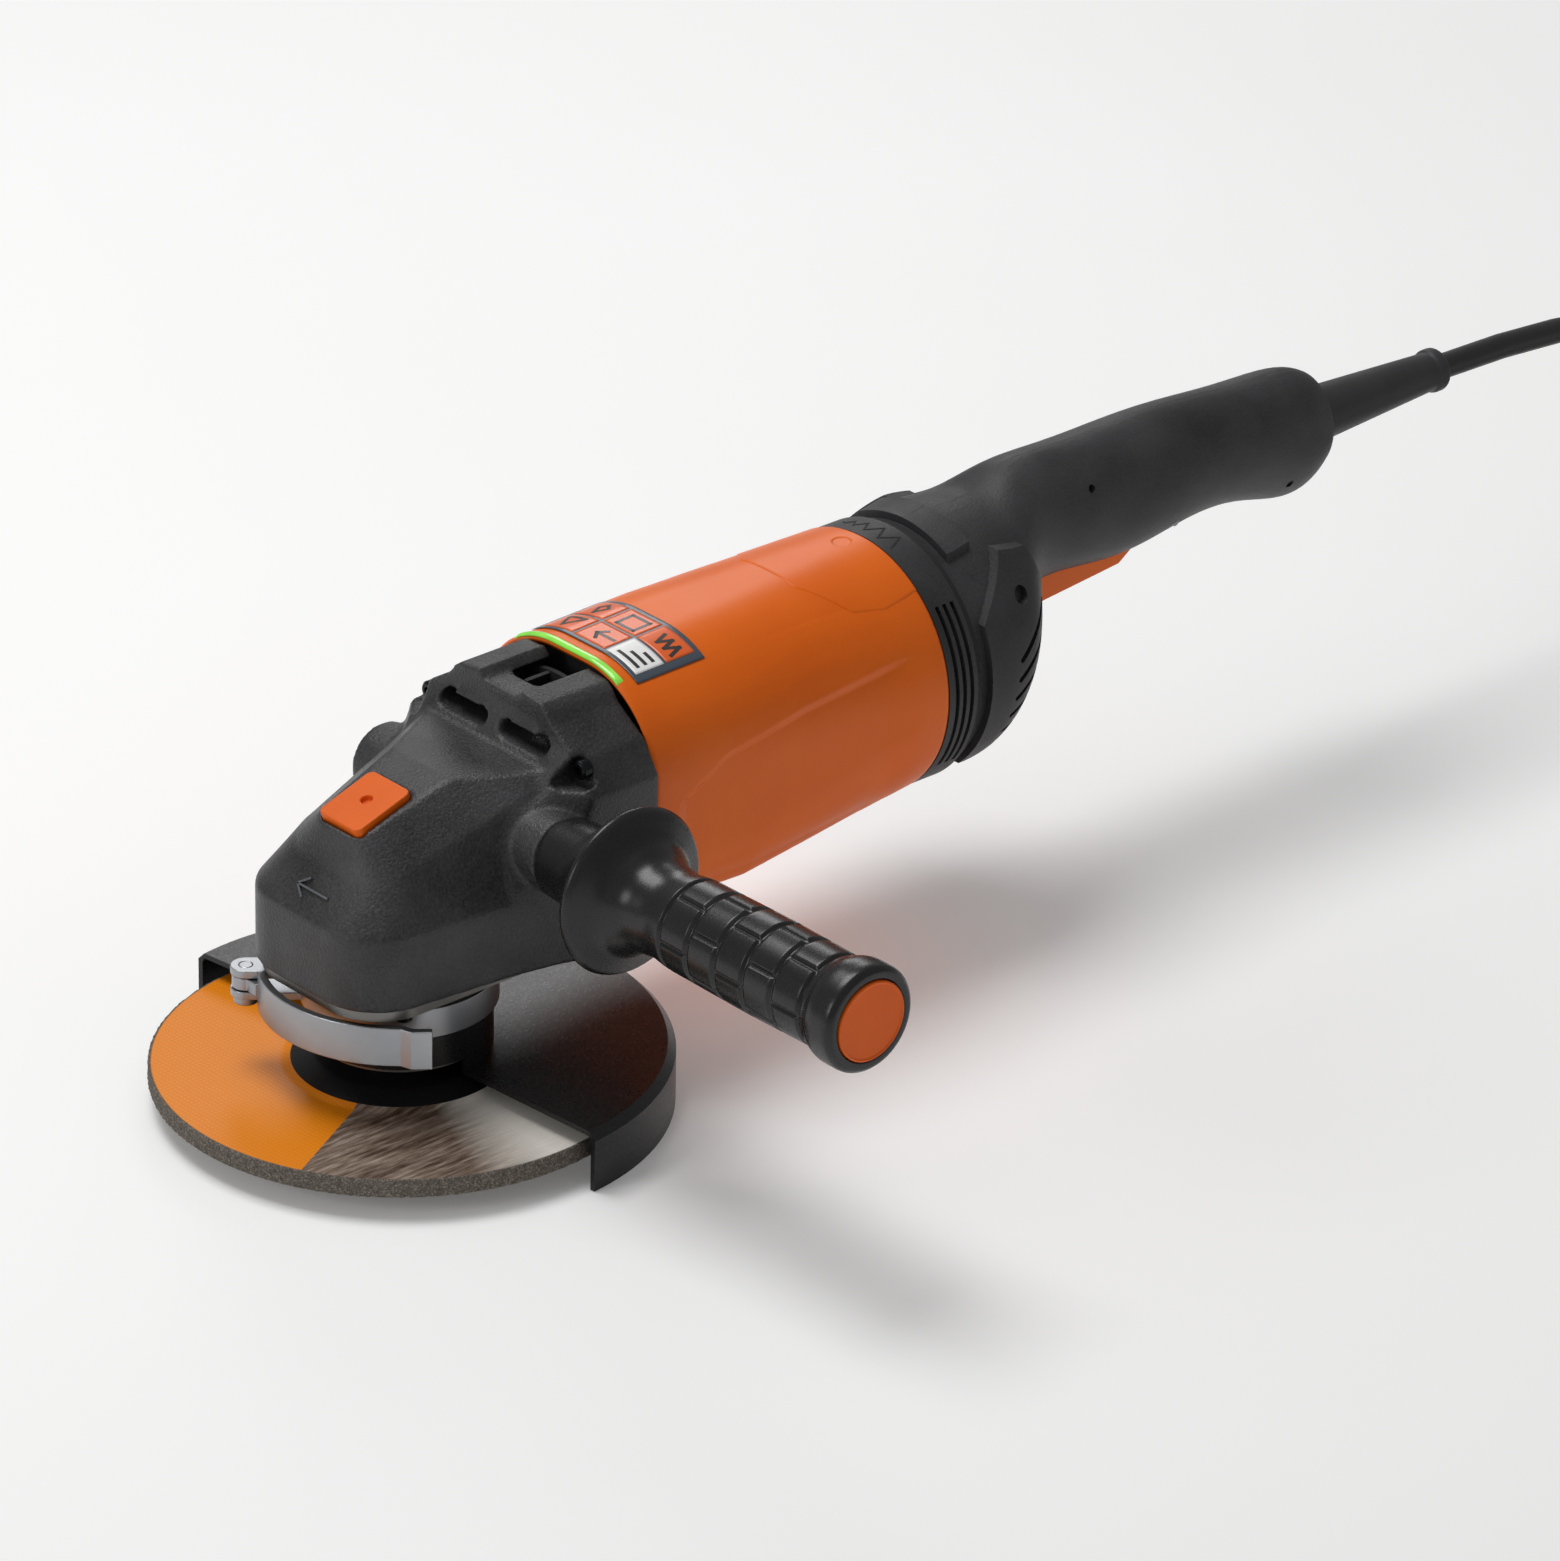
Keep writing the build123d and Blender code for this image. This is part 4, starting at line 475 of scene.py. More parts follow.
# Angles of the sectors, in radians about the spindle: the print starts at the front of the nose.
print_start = np.radians(-152.5)
print_end = np.radians(-60)
after_start = add(tree, "Math", {0: turn.outputs[0], 1: print_start}, operation="GREATER_THAN")
before_end = add(tree, "Math", {0: turn.outputs[0], 1: print_end}, operation="LESS_THAN")
in_print = add(tree, "Math", {0: after_start.outputs[0], 1: before_end.outputs[0]}, operation="MULTIPLY")
film = add(
    tree,
    "Mix",
    {0: in_print.outputs[0], 6: tint.outputs["Color"], 7: print_tone.outputs["Color"]},
    data_type="RGBA",
)
# Painted highlight: over the last stretch of the printed sector the film is mixed towards a pale cream.
print_painted_highlight = add(tree, "MapRange", {"Value": turn.outputs[0], "From Min": np.radians(-112)})
print_painted_highlight.inputs["From Max"].default_value = np.radians(-92)
print_painted_highlight.inputs["To Max"].default_value = 0.85
lit = add(tree, "Math", {0: print_painted_highlight.outputs["Result"], 1: in_print.outputs[0]}, operation="MULTIPLY")
lit_film = add(tree, "Mix", {0: lit.outputs[0], 6: film.outputs[2], 7: linear("#F4EFE6")}, data_type="RGBA")
in_hub = add(tree, "Math", {0: distance.outputs["Value"], 1: hub_print_radius * mm}, operation="LESS_THAN")
hub_inputs = {0: in_hub.outputs[0], 6: lit_film.outputs[2], 7: linear("#17181A")}
hub_film = add(tree, "Mix", hub_inputs, data_type="RGBA")
off_film = add(tree, "MapRange", {"Value": distance.outputs["Value"], "From Min": (film_radius - 0.3) * mm})
off_film.inputs["From Max"].default_value = (film_radius + 0.3) * mm
below = add(tree, "Math", {0: parts.outputs["Z"], 1: (disc_thick - 0.8) * mm}, operation="LESS_THAN")
bare_here = add(tree, "Math", {0: off_film.outputs["Result"], 1: below.outputs[0]}, operation="MAXIMUM")
whole = add(
    tree,
    "Mix",
    {0: bare_here.outputs[0], 6: hub_film.outputs[2], 7: bare.outputs["Color"]},
    data_type="RGBA",
)
tree.links.new(whole.outputs[2], shader.inputs["Base Color"])
rough = add(tree, "MapRange", {"Value": bare_here.outputs[0], "To Min": 0.42, "To Max": 0.92})
tree.links.new(rough.outputs["Result"], shader.inputs["Roughness"])
raised_net = add(tree, "Math", {0: net.outputs[0], 1: 0.12}, operation="MULTIPLY")
relief = add(
    tree,
    "Mix",
    {0: bare_here.outputs[0], 2: raised_net.outputs[0], 3: grit.outputs["Distance"]},
    data_type="FLOAT",
)
bump = add(tree, "Bump", {"Height": relief.outputs[0], "Distance": 0.35 * mm, "Strength": 0.8})
tree.links.new(bump.outputs["Normal"], shader.inputs["Normal"])
shader.inputs["Specular IOR Level"].default_value = 0.25

abrasive_disc = grid_mesh("abrasive_disc", disc_points, True, True, bonded_grit)
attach(abrasive_disc, "spindle")
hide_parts("grinding_disc")
tinned_steel = finish("tinned_steel_ring", "#A9ACAE", "#8F9295", 0.35, 0.5, 0.01, 1.0)
dress(tinned_steel, "disc_bush")

# ---- Gear head -------------------------------------------------------------------
# Die-cast magnesium housing for the bevel gears, with a coarse black powder coat. The coat rounds every
# edge and leaves a pebbled skin that sparkles under a broad light.
head_voxel = 1.1
head_rounds = 5


def cast(piece_name, cad_name, voxel, rounds, material, body):
    """A CAD node as a casting: joined, rebuilt on a grid of cubes of that size in millimetres, and relaxed
    so that its edges become round."""
    mesh = merged_copy(cad_name)
    data = bpy.data.meshes.new(piece_name + "_rough")
    mesh.to_mesh(data)
    mesh.free()
    rough_piece = bpy.data.objects.new(piece_name + "_rough", data)
    bpy.context.scene.collection.objects.link(rough_piece)
    remesh = rough_piece.modifiers.new("skin", "REMESH")
    remesh.mode = "VOXEL"
    remesh.voxel_size = voxel * mm
    relax = rough_piece.modifiers.new("rounding", "SMOOTH")
    relax.factor = 0.5
    relax.iterations = rounds
    evaluated = rough_piece.evaluated_get(bpy.context.evaluated_depsgraph_get())
    finished = bpy.data.meshes.new_from_object(evaluated)
    finished.name = piece_name
    bpy.data.objects.remove(rough_piece)
    finished.materials.clear()
    finished.materials.append(material)
    finished.shade_smooth()
    piece = bpy.data.objects.new(piece_name, finished)
    bpy.context.scene.collection.objects.link(piece)
    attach(piece, body)
    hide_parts(cad_name)
    return piece


# Textured powder coat: near-black, pebbles about a millimetre across, each with its own small glint from its
# bump and roughness, and a painted highlight that lightens its top.
powder_coat = finish("textured_powder_coat", "#434345", "#1E1E1F", 0.42, 1.1, 0.35, gloss=0.4)
cast("gear_casting", "gear_head", head_voxel, head_rounds, powder_coat, "housing")

# Socket-head screws: blackened steel, in the pockets at the rim's corners.
blackened_steel = finish("blackened_steel", "#2E2F31", "#202122", 0.3, 0.6, 0.02, 0.9)
eased("head_screws_black", "head_screws", 0.35, blackened_steel, "housing")

# Turn arrow: a thin raised line cast into the nose's front slope. It has the casing's coat, painted a lighter
# grey as a highlight.
arrow_painted_highlight = finish("powder_coat_painted_highlight", "#6A6C70", "#4C4E52", 0.4, 0.8, 0.05, gloss=0.6)


strip_root = 0.4  # how far a raised line reaches into the surface under it


def strip_on(piece_name, line, width, high, surface, material, body):
    """A raised line: each straight run of (u, v) points becomes a flat bar of that width and height. The
    surface function gives the point at (u, v) raised by h."""
    verts = []
    faces = []
    for (u0, v0), (u1, v1) in zip(line, line[1:]):
        along = np.array([u1 - u0, v1 - v0], float)
        size = np.linalg.norm(along)
        along = along / size
        across = np.array([-along[1], along[0]]) * width / 2
        count = max(2, int(size / 1.0) + 1)
        t = np.linspace(-width / 2, size + width / 2, count)[:, None]
        middle = np.array([u0, v0]) + along * t
        left = middle + across
        right = middle - across
        corners = [(left, -strip_root), (left, high), (right, high), (right, -strip_root)]
        rows = np.stack([surface(p[:, 0], p[:, 1], h) for p, h in corners], 1)
        base = len(verts)
        verts.extend(rows.reshape(-1, 3).tolist())
        for i in range(count - 1):
            a = base + 4 * i
            faces.extend([(a + k, a + (k + 1) % 4, a + 4 + (k + 1) % 4, a + 4 + k) for k in range(4)])
        faces.append((base, base + 1, base + 2, base + 3))
        last = base + 4 * (count - 1)
        faces.append((last + 3, last + 2, last + 1, last))
    data = bpy.data.meshes.new(piece_name)
    data.from_pydata((np.array(verts) * mm).tolist(), [], faces)
    mesh = bmesh.new()
    mesh.from_mesh(data)
    bmesh.ops.recalc_face_normals(mesh, faces=mesh.faces)
    mesh.to_mesh(data)
    mesh.free()
    data.materials.append(material)
    piece = bpy.data.objects.new(piece_name, data)
    bpy.context.scene.collection.objects.link(piece)
    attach(piece, body)
    return piece


def nose_slope(u, v, h):
    """The plane bevel above the nose: v runs up the slope from its lower edge and u to the left."""
    lower = np.array([-46.5, 0.0, 80.0])
    upper = np.array([-33.0, 0.0, 97.5])
    up = (upper - lower) / np.linalg.norm(upper - lower)
    left = np.array([0.0, 1.0, 0.0])
    out = np.cross(left, up)
    out = out * np.sign(-out[0])
    return lower + up * np.asarray(v)[:, None] + left * np.asarray(u)[:, None] + out * h


arrow_lines = (
    ("turn_arrow_shaft", [(-9, 10), (7, 10)]),
    ("turn_arrow_head", [(2.5, 13.5), (7, 10), (2.5, 6.5)]),
)
for name, line in arrow_lines:
    strip_on(name, line, 0.8, 0.35, nose_slope, arrow_painted_highlight, "housing")

# ---- Spindle lock -------------------------------------------------------------------
# A moulded button with a dimple for the fingertip, on a steel pin that drops into the crown gear.
button_nylon = finish("glass_filled_nylon_orange", "#E8670F", "#DF5E08", 0.42, 0.7, 0.03, gloss=0.25)
eased("lock_button_moulded", "lock_button", 0.8, button_nylon, "lock")
dress(ground_steel, "lock_pin")

# ---- Bearing flange and collar ------------------------------------------------------
# Turned aluminium neck that the guard clamps on, with a cap that keeps dust from the bearing.
turned_aluminium = finish("turned_aluminium", "#8C8A86", "#6F6D69", 0.34, 0.6, 0.02, 1.0, stretch=(1, 1, 14))
dress(turned_aluminium, "bearing_flange", "bearing_cap")
eased("flange_screws_black", "flange_screws", 0.3, blackened_steel, "housing")

# ---- Motor: armature, stator and what sits around them ----------------------------
# Laminated cores of varnished silicon steel with copper windings, a copper commutator with carbon
# brushes in brass boxes, and a moulded fan and baffle. All of it is closed in by the housing.
laminations = finish("varnished_laminations", "#6E6A66", "#55524F", 0.45, 0.5, 0.05, 0.8, stretch=(8, 1, 1))
enamelled_copper = finish(
    "enamelled_copper_wire", "#B5632F", "#93481E", 0.35, 0.7, 0.12, 0.9, stretch=(1, 4, 4)
)
brush_carbon = finish("electrographite", "#2C2C2D", "#1F1F20", 0.6, 0.4, 0.03)
brass = finish("stamped_brass", "#B79245", "#A27E36", 0.32, 0.6, 0.02, 1.0)
fan_nylon = finish("glass_filled_nylon_black", "#2A2B2D", "#212224", 0.5, 0.6, 0.03)
dress(laminations, "armature_core", "stator_core")
dress(enamelled_copper, "armature_windings", "stator_windings", "commutator")
dress(brush_carbon, "carbon_brushes")
dress(brass, "brush_holders")
dress(fan_nylon, "fan", "air_baffle", "bearing_holder")

# ---- Motor housing ------------------------------------------------------------------
# Injection-moulded glass-filled nylon in orange: squarish where it meets the head and round at the
# rear, with a shallow field pressed into each flank. Four screws hold it to the head.
axis_height = 97.0
casing_front = 78.0
casing_rear = 218.0
casing_wall = 2.4
# Stations of the casing: x, half width, low, high, lower and upper corner radius, in millimetres.
casing_stations = np.array(
    [
        [casing_front, 48.0, 50.0, 144.0, 24.0, 39.0],
        [130.0, 49.0, 46.0, 146.0, 30.0, 42.0],
        [casing_rear, 50.0, 47.0, 147.0, 49.8, 49.8],
    ]
)


def casing_point(x, s, grow):
    """The casing's section at x: s is 0 on top and runs to 1 round to the left, top, side and bottom being
    straight runs joined by corner arcs. Equal lengths of s are equal lengths along a circle's quarter."""
    x = np.asarray(x, float)
    half, low, high, corner_low, corner_high = (
        np.interp(x, casing_stations[:, 0], casing_stations[:, k]) for k in range(1, 6)
    )
    turn = np.asarray(s, float) * 2 * np.pi
    side = np.sign(np.sin(turn))
    fold = np.abs((turn + np.pi) % (2 * np.pi) - np.pi)
    upper = fold < np.pi / 2
    radius = np.where(upper, corner_high, corner_low)
    corner_y = half - radius
    corner_z = np.where(upper, high - radius, low + radius)
    local = np.where(upper, fold, np.pi - fold)
    # The flats take up the first and last share of each quarter, as wide as they are long.
    side_flat = np.where(upper, high - corner_high - axis_height, axis_height - low - corner_low)
    total = corner_y + radius * np.pi / 2 + side_flat
    run = local / (np.pi / 2) * total
    on_top = run < corner_y
    on_side = run > corner_y + radius * np.pi / 2
    bend = np.clip((run - corner_y) / radius, 0, np.pi / 2)
    y = np.where(on_top, run, corner_y + radius * np.sin(bend))
    z_out = np.where(on_side, run - corner_y - radius * np.pi / 2, 0.0)
    sign = np.where(upper, 1.0, -1.0)
    z = corner_z + sign * radius * np.cos(bend) - sign * z_out
    normal = np.stack([np.zeros_like(y), side * np.sin(bend), sign * np.cos(bend)], -1)
    point = np.stack([x + 0 * y, side * y, z], -1)
    return point + normal * np.asarray(grow)[..., None]


def ramp(value, start, end):
    """A smooth step from 0 at start to 1 at end: 3t^2 - 2t^3."""
    t = np.clip((value - start) / (end - start), 0, 1)
    return t * t * (3 - 2 * t)


# The rows stand closer together at both ends, where the edge is rounded.
front_edge = casing_front + np.array([0.0, 0.4, 1.2])
rear_edge = casing_rear - np.array([0.6, 0.15, 0.0])
casing_rows = np.concatenate([front_edge, np.linspace(casing_front + 2.5, casing_rear - 1.5, 130), rear_edge])
casing_turn = np.linspace(0, 1, 360, endpoint=False)
grid_x, grid_s = np.meshgrid(casing_rows, casing_turn, indexing="ij")
flat_points = casing_point(grid_x, grid_s, np.zeros_like(grid_x))
height = flat_points[..., 2] - axis_height
flank = (np.abs(flat_points[..., 1]) > 30).astype(float)
# The pressed field: its upper edge climbs towards the rear in two straight stretches.
upper_edge = np.interp(grid_x, [84, 112, 150, 205], [-2, 14, 20, 24])
field = ramp(upper_edge - height, 0, 3) * ramp(height, -44, -38)
field = field * ramp(grid_x, 88, 94) * (1 - ramp(grid_x, 186, 208))
# A raised shoulder above it, between the flank and the top.
shoulder_line = np.interp(grid_x, [84, 118, 160, 214], [30, 27, 34, 30])
shoulder = np.exp(-(((height - shoulder_line) / 7) ** 2))
shoulder = shoulder * ramp(grid_x, 84, 100) * (1 - ramp(grid_x, 196, 214))
front_drop = 0.9 * (1 - ramp(grid_x, casing_front, casing_front + 1.2))
rear_drop = 0.6 * ramp(grid_x, casing_rear - 1.2, casing_rear)
edge_drop = front_drop + rear_drop
swell = -1.5 * field * flank + 0.5 * shoulder * flank - edge_drop
casing_points = casing_point(grid_x, grid_s, np.minimum(swell, 0.35))

# Orange nylon, fine spark-eroded texture: satin, with painted shade that makes the hollows of the grain a
# little darker.
orange_nylon = finish("moulded_orange_nylon", "#EA6C12", "#E2630A", 0.36, 0.55, 0.035, patch=60, gloss=0.25)
motor_casing = grid_mesh("motor_casing", casing_points, False, True, orange_nylon)
thicken(motor_casing, casing_wall)
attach(motor_casing, "housing")
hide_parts("motor_housing")

# ---- Top cover ------------------------------------------------------------------------
# A separate moulded cover over the brush chamber, clipped in front and held by one screw at the rear.
# It stands a hair above the casing, and its edge is rounded down into the joint.
cover_x = [172.0, 186.0, 200.0, casing_rear]
cover_half_turn = [0.045, 0.108, 0.118, 0.108]
cover_rise = 0.55
cover_wall = 1.2
cover_rows = np.linspace(cover_x[0], cover_x[-1] - 0.2, 60)
cover_cols = np.linspace(-1, 1, 90)
grid_x, grid_v = np.meshgrid(cover_rows, cover_cols, indexing="ij")
half_turn = np.interp(grid_x, cover_x, cover_half_turn)
from_side = (1 - np.abs(grid_v)) * half_turn * 300
from_end = np.minimum(grid_x - cover_x[0], casing_rear - grid_x)
from_edge = np.minimum(from_side, from_end)
cover_lift = cover_rise * ramp(from_edge, -0.05, 0.9) - 0.25
hole_x = 209.0
cover_points = casing_point(grid_x, grid_v * half_turn, cover_lift)
hole_distance = np.hypot(grid_x - hole_x, cover_points[..., 1])
sink = 3.2 * (1 - ramp(hole_distance, 2.2, 3.4))
cover_points[..., 2] -= sink
cover_skin = grid_mesh("top_cover_moulded", cover_points, False, False, orange_nylon)
thicken(cover_skin, cover_wall)
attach(cover_skin, "housing")
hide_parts("top_cover")
eased("cover_screw_black", "cover_screw", 0.3, blackened_steel, "housing")

# ---- Rating label ------------------------------------------------------------------------
# A printed polyester film on top of the casing: a slate frame with five orange tiles that carry plain
# signs, and a white tile with a scale of bars.
ring_radius = 50.0
label_front = 85.5
label_rear = 117.0
label_half_turn = 0.094
film_lift = 0.42
film_thick = 0.12
ink_thick = 0.04
label_rows = np.linspace(label_front, label_rear, 40)
label_cols = np.linspace(-1, 1, 60)
grid_x, grid_v = np.meshgrid(label_rows, label_cols, indexing="ij")
label_points = casing_point(grid_x, grid_v * label_half_turn, np.full_like(grid_x, film_lift))


def film_material(name, colour, roughness):
    """Printed polyester: an even ink under a clear satin film, with a faint print grain."""
    material = finish(name, colour, colour, roughness, 0.4, 0.008, patch=20)
    material.node_tree.nodes["Principled BSDF"].inputs["Coat Weight"].default_value = 0.25
    return material


slate_ink = film_material("printed_film_slate", "#414B57", 0.35)
orange_ink = film_material("printed_film_orange", "#E4601A", 0.35)
white_ink = film_material("printed_film_white", "#F2F2F0", 0.35)
black_ink = film_material("printed_film_black", "#2A2623", 0.4)
label_film = grid_mesh("label_film", label_points, False, False, slate_ink)
thicken(label_film, film_thick)
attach(label_film, "housing")
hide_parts("label_plate")


def label_surface(u, v, h):
    """The point of the label at u millimetres behind its front edge and v to the left of its middle."""
    around = np.asarray(v, float) / (2 * np.pi * ring_radius)
    return casing_point(label_front + np.asarray(u, float), around, 0.44 + h + 0 * np.asarray(u, float))


tile_long = 13.2
tile_wide = 16.6
tile_gap = 1.0
for row in range(2):
    for column in range(3):
        u0 = 2.0 + row * (tile_long + tile_gap)
        v0 = -26.0 + column * (tile_wide + tile_gap)
        grid_u, grid_v = np.meshgrid(
            np.linspace(u0, u0 + tile_long, 12), np.linspace(v0, v0 + tile_wide, 16), indexing="ij"
        )
        ink = white_ink if (row, column) == (0, 0) else orange_ink
        points = label_surface(grid_u.ravel(), grid_v.ravel(), 0.05).reshape(12, 16, 3)
        tile = grid_mesh(f"label_tile_{row}{column}", points, False, False, ink)
        thicken(tile, ink_thick)
        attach(tile, "housing")

signs = {
    "label_sign_bar_a": [(5.0, -23), (5.0, -13)],
    "label_sign_bar_b": [(8.5, -23), (8.5, -16)],
    "label_sign_bar_c": [(12.0, -23), (12.0, -19)],
    "label_sign_arrow": [(8.6, -6), (8.6, 3), (5.5, 0.5), (8.6, 3), (11.7, 0.5)],
    "label_sign_triangle": [(5.0, 18), (12.5, 13.5), (12.5, 22.5), (5.0, 18)],
    "label_sign_zigzag": [(20, -24), (25.5, -22), (20, -20), (25.5, -18), (20, -16), (25.5, -14)],
    "label_sign_frame": [(18.5, -5), (18.5, 4), (26.5, 4), (26.5, -5), (18.5, -5)],
    "label_sign_drop": [(19, 17), (24, 14.5), (26.5, 17), (24, 19.5), (19, 17)],
}
for name, line in signs.items():
    strip_on(name, line, 1.5, 0.1, label_surface, black_ink, "housing")

# ---- Status light ------------------------------------------------------------------------
# A translucent green polycarbonate strip in the joint behind the head's rim, lit from inside.
light_lime, tree, shader = new_material("lit_green_polycarbonate")
where = add(tree, "TexCoord")
haze = add(tree, "TexNoise", {"Vector": where.outputs["Object"], "Scale": 1 / (9 * mm), "Detail": 1.0})
glow = add(tree, "ValToRGB", {"Fac": haze.outputs["Fac"]})
glow.color_ramp.elements[0].color = linear("#5FBF2A")
glow.color_ramp.elements[1].color = linear("#9BE85C")
tree.links.new(glow.outputs["Color"], shader.inputs["Base Color"])
tree.links.new(glow.outputs["Color"], shader.inputs["Emission Color"])
shader.inputs["Emission Strength"].default_value = 0.35
shader.inputs["Roughness"].default_value = 0.12
shader.inputs["Coat Weight"].default_value = 0.6
strip_wide = 3.6
strip_wall = 1.0
strip_right_end = -0.086
strip_left_end = 0.1
end_taper = 0.006
strip_rows = np.linspace(0, 1, 16)
strip_cols = np.linspace(strip_right_end, strip_left_end, 70)
grid_t, grid_s = np.meshgrid(strip_rows, strip_cols, indexing="ij")
bulge = 1.0 * np.sqrt(np.clip(1 - (2 * grid_t - 1) ** 2, 0, 1)) - 0.2
right_taper = ramp(grid_s, strip_right_end, strip_right_end + end_taper)
left_taper = 1 - ramp(grid_s, strip_left_end - end_taper, strip_left_end)
ends = np.minimum(right_taper, left_taper)
strip_x = casing_front + 0.2 + strip_wide * grid_t
strip_points = casing_point(strip_x, grid_s, bulge * ends - 0.3 * (1 - ends))
status_light = grid_mesh("status_light", strip_points, False, False, light_lime)
thicken(status_light, strip_wall)
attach(status_light, "housing")
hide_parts("led_strip")

# ---- Air intake ring and damper --------------------------------------------------------
# A black nylon ring with three slots on each flank closes the motor, and a rubber ring behind it lets
# the rear handle float. A zigzag sign on top of the ring stands for the damping.
black_nylon = finish("textured_black_nylon", "#3A3A3C", "#272729", 0.46, 0.9, 0.15, gloss=0.3)
damper_rubber = finish("soft_damper_rubber", "#1D1D1E", "#151516", 0.8, 0.8, 0.05)
dress(black_nylon, "intake_ring")
dress(damper_rubber, "damper_ring")


def ring_surface(u, v, h):
    """The ring's outside: u runs to the rear from the casing and v to the left of the top, on a circle."""
    angle = np.asarray(v, float) / ring_radius
    radius = ring_radius + np.asarray(h, float)
    x = casing_rear + np.asarray(u, float)
    return np.stack([x, radius * np.sin(angle), axis_height + radius * np.cos(angle)], -1)


wave = [
    (7.0, 17),
    (5.6, 14.5),
    (8.6, 12),
    (4.8, 9),
    (9.6, 6),
    (4.0, 2.5),
    (10.6, -1.5),
    (3.6, -5.5),
    (11.0, -9.5),
    (3.6, -13),
]
strip_on("damping_sign", wave, 0.7, 0.12, ring_surface, damper_rubber, "housing")

# ---- Rear handle ------------------------------------------------------------------------
# Two half shells of black glass-filled nylon with a moulded leather-like grain, screwed together on
# the middle plane, with the switch unit, the cord clamp and the electronics inside.
shell_nylon = finish("grained_black_nylon", "#414143", "#2B2B2D", 0.48, 0.9, 0.16, gloss=0.3)
for name, shell in (("grip_shell_right", "handle_right"), ("grip_shell_left", "handle_left")):
    eased(name, shell, 0.25, shell_nylon, "housing")
eased("shell_screws_black", "handle_screws", 0.25, blackened_steel, "housing")
for name, panel in (("vent_cover_right", "vent_panel_right"), ("vent_cover_left", "vent_panel_left")):
    eased(name, panel, 0.5, black_nylon, "housing")
circuit_potting = finish("potted_circuit", "#2C4B3A", "#20382B", 0.4, 1.4, 0.1)
dress(circuit_potting, "electronics_module")
dress(fan_nylon, "switch_unit", "cord_clamp")

# ---- Switch paddle ------------------------------------------------------------------------
# The long orange lever under the grip; it turns on a steel pin at its rear end.
eased("paddle_moulded", "switch_paddle", 0.9, orange_nylon, "paddle")
dress(ground_steel, "paddle_pin")

# ---- Cord sleeve and plug -------------------------------------------------------------------
# A long tapered sleeve of soft black rubber keeps the cord from kinking where it leaves the handle.
sleeve_height = 127.0
sleeve_outline = refine(
    soften(
        [
            (5.1, 435.0),
            (11.0, 435.0),
            (11.0, 450.0),
            (7.6, 513.0),
            (8.6, 514.2),
            (8.6, 517.8),
            (7.4, 519.0),
            (5.1, 519.0),
        ],
        1.0,
    ),
    3.0,
)
sleeve_rubber = finish("sleeve_rubber", "#38383A", "#2A2A2C", 0.5, 0.8, 0.05, gloss=0.3)
sleeve_points = turned(sleeve_outline, 96, "X", (0, 0, sleeve_height))
cord_boot = grid_mesh("cord_boot", sleeve_points, True, True, sleeve_rubber)
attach(cord_boot, "housing")
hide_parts("cord_sleeve")
# The moulded two-pin plug is the same rubber, with nickel-plated brass pins.
nickel_plate = finish("nickel_plated_brass", "#B9B7B0", "#A8A69F", 0.22, 0.5, 0.01, 1.0)
dress(sleeve_rubber, "plug_body")
dress(nickel_plate, "plug_pins")

# ---- Guard ------------------------------------------------------------------------------------
# Deep-drawn steel sheet, black satin stove enamel, with a collar that turns on the neck; a zinc-plated
# band and a quick lever clamp it.
guard_enamel = finish("satin_stove_enamel", "#161617", "#101011", 0.3, 0.9, 0.02, gloss=0.35)
eased("guard_pressing", "guard", 0.5, guard_enamel, "guard")
zinc_plate = finish("satin_zinc_plate", "#A7A9AC", "#94969A", 0.33, 0.5, 0.015, 1.0, stretch=(1, 1, 10))
eased("clamp_band_plated", "clamp_band", 0.3, zinc_plate, "guard")
eased("lever_pin_plated", "lever_pin", 0.4, zinc_plate, "guard")
eased("clamp_lever_plated", "clamp_lever", 0.6, zinc_plate, "lever")

# ---- Side handle ---------------------------------------------------------------------------------
# Screwed into the head's right flank: glossy black polyamide over a steel stud, with a wide flange
# for the hand, rings of brick-like pads on the grip, and an orange cap in its end.
side_x = 33.0
pad_rings = 5
pads_round = 6
pads_from = -120.0
pads_to = -192.0
groove_half = 0.75
groove_deep = 1.15
grip_outline = refine(
    soften(
        [
            (7.2, -50.3),
            (15.0, -50.3),
            (16.0, -69.0),
            (20.0, -79.0),
            (30.5, -83.0),
            (31.5, -85.5),
            (30.0, -88.0),
            (22.0, -92.0),
            (17.5, -100.0),
            (16.2, -110.0),
            (17.4, -119.0),
            (17.9, -160.0),
            (17.4, -194.0),
            (19.4, -197.5),
            (20.0, -200.5),
            (20.0, -208.0),
            (18.2, -210.0),
            (15.1, -210.0),
            (15.1, -207.2),
            (7.2, -207.2),
        ],
        3.0,
        7,
    ),
    0.8,
)
grip_turns = 256
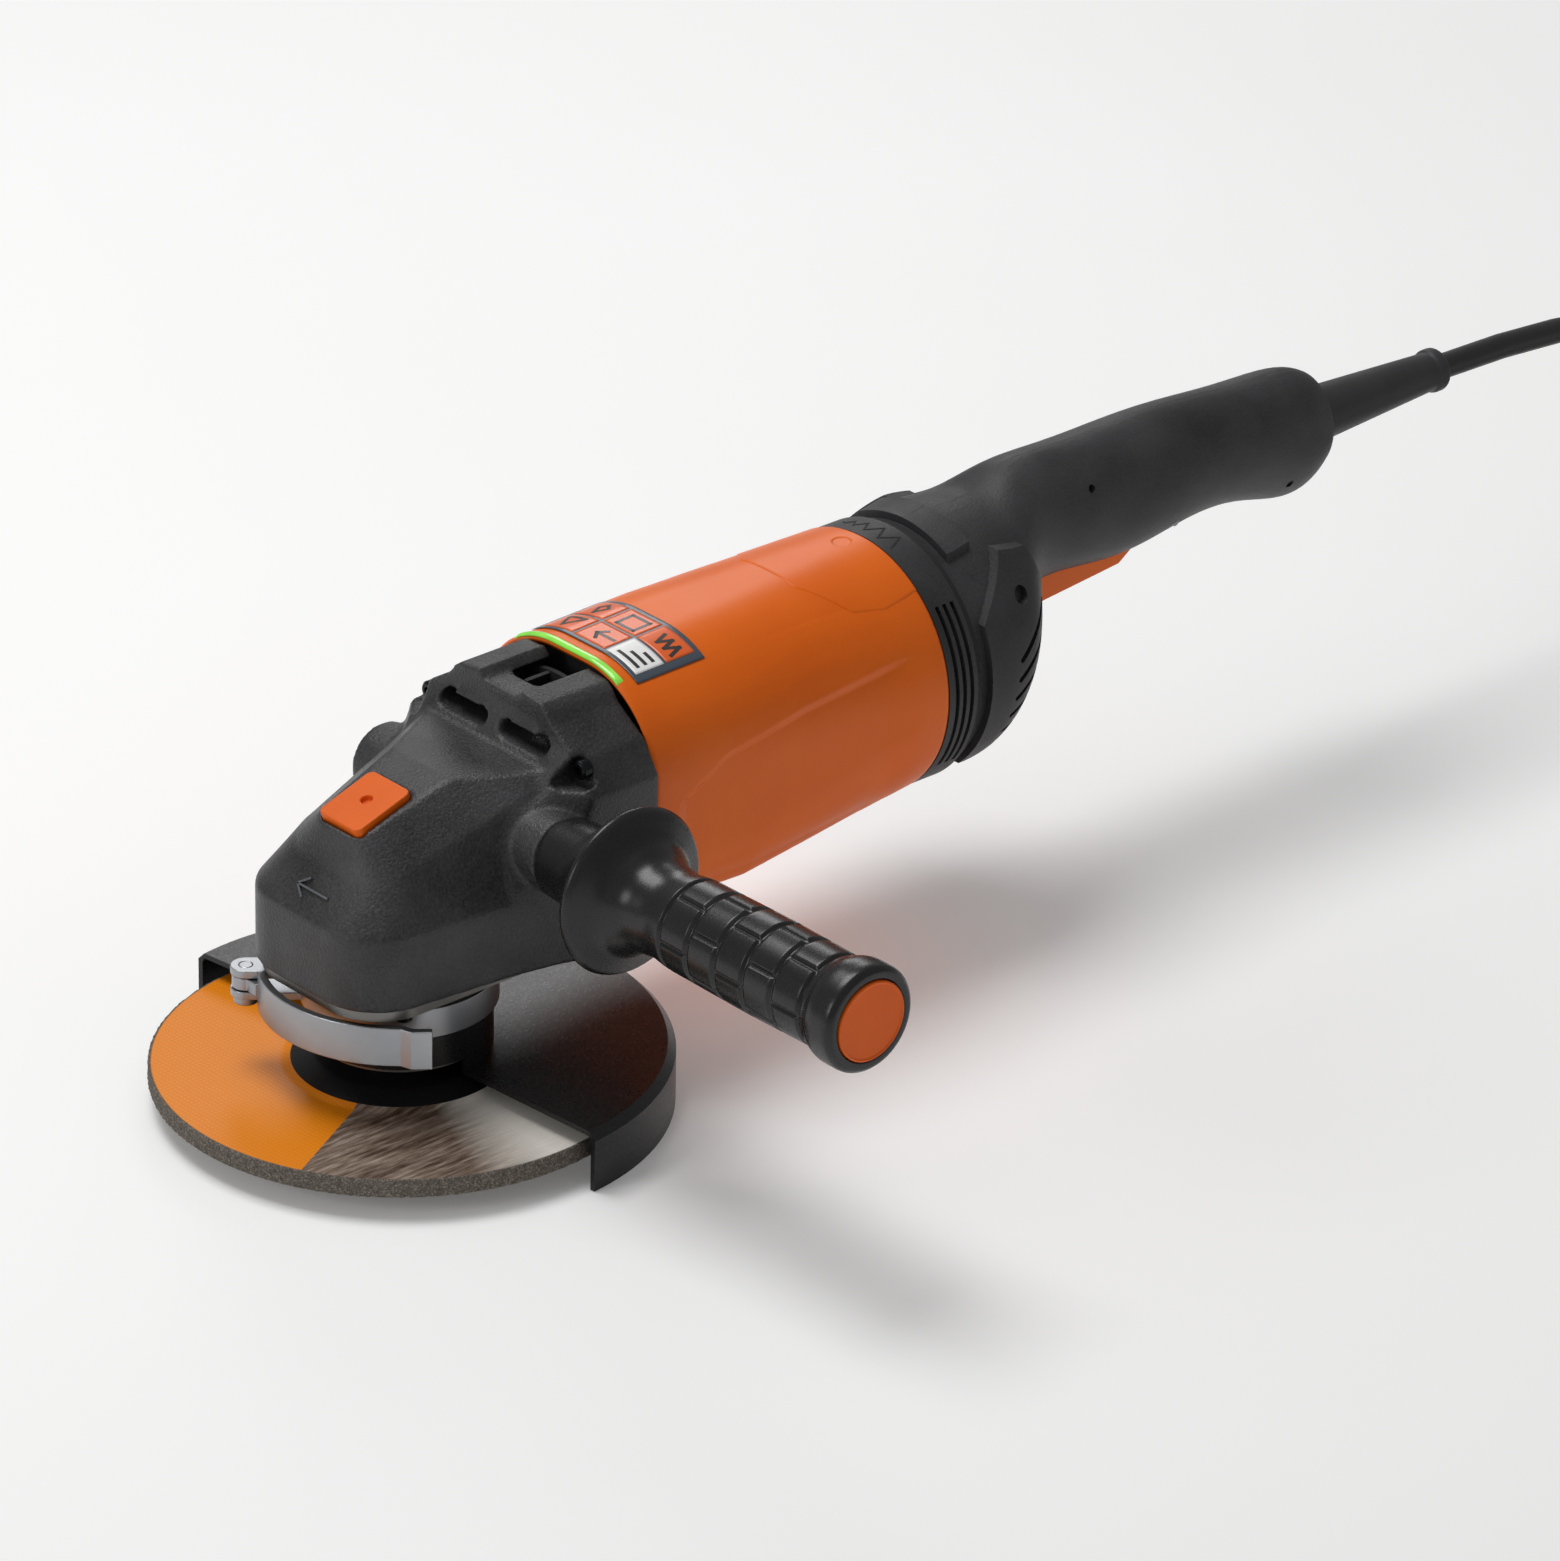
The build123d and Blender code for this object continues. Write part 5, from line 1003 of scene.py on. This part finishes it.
grip_points = turned(grip_outline, grip_turns, "Y", (0, 0, 0))
along = grip_points[..., 1]
radius = np.hypot(grip_points[..., 0], grip_points[..., 2])
angle = np.arctan2(grip_points[..., 2], grip_points[..., 0])
ring_step = (pads_to - pads_from) / pad_rings
ring_number = np.floor((along - pads_from) / ring_step)
ring_turn = (along - pads_from) / ring_step
to_ring_line = np.abs(ring_turn - np.round(ring_turn)) * abs(ring_step)
pad_turn = (angle / (2 * np.pi) + 0.5 * (ring_number % 2) / pads_round) * pads_round
to_pad_line = np.abs(pad_turn - np.round(pad_turn)) / pads_round * 2 * np.pi * radius
on_grip = ramp(-along, -pads_from - 1.0, -pads_from) * (1 - ramp(-along, -pads_to, -pads_to + 1.0))
inside_rings = (ring_number >= 0) & (ring_number < pad_rings)
cut = 1 - ramp(to_ring_line, groove_half * 0.5, groove_half * 1.6)
cut = np.maximum(cut, (1 - ramp(to_pad_line, groove_half * 0.5, groove_half * 1.6)) * inside_rings)
on_outside = radius > 15.8
shrink = 1 - groove_deep * cut * on_grip * on_outside / radius
grip_points[..., 0] *= shrink
grip_points[..., 2] *= shrink
grip_points = grip_points + np.array([side_x, 0, axis_height])
grip_polyamide = finish("satin_black_polyamide", "#1F1F20", "#161617", 0.28, 0.8, 0.02, gloss=0.4)
side_grip = grid_mesh("side_grip", grip_points, True, True, grip_polyamide)
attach(side_grip, "side_handle")
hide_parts("side_handle_grip")
dress(ground_steel, "handle_stud")

# The cap is pressed in: matt orange, with a raised rim.
cap_corners = [
    (0.0, -207.0),
    (14.9, -207.0),
    (14.9, -210.4),
    (14.3, -210.8),
    (13.6, -210.35),
    (0.0, -210.35),
]
cap_outline = refine(soften(cap_corners, 0.3), 1.5)
cap_nylon = finish("matt_orange_nylon", "#E4640E", "#DA5A06", 0.5, 0.6, 0.03, gloss=0.25)
end_cap = grid_mesh("end_cap", turned(cap_outline, 120, "Y", (side_x, 0, axis_height)), True, True, cap_nylon)
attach(end_cap, "side_handle")
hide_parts("handle_cap")
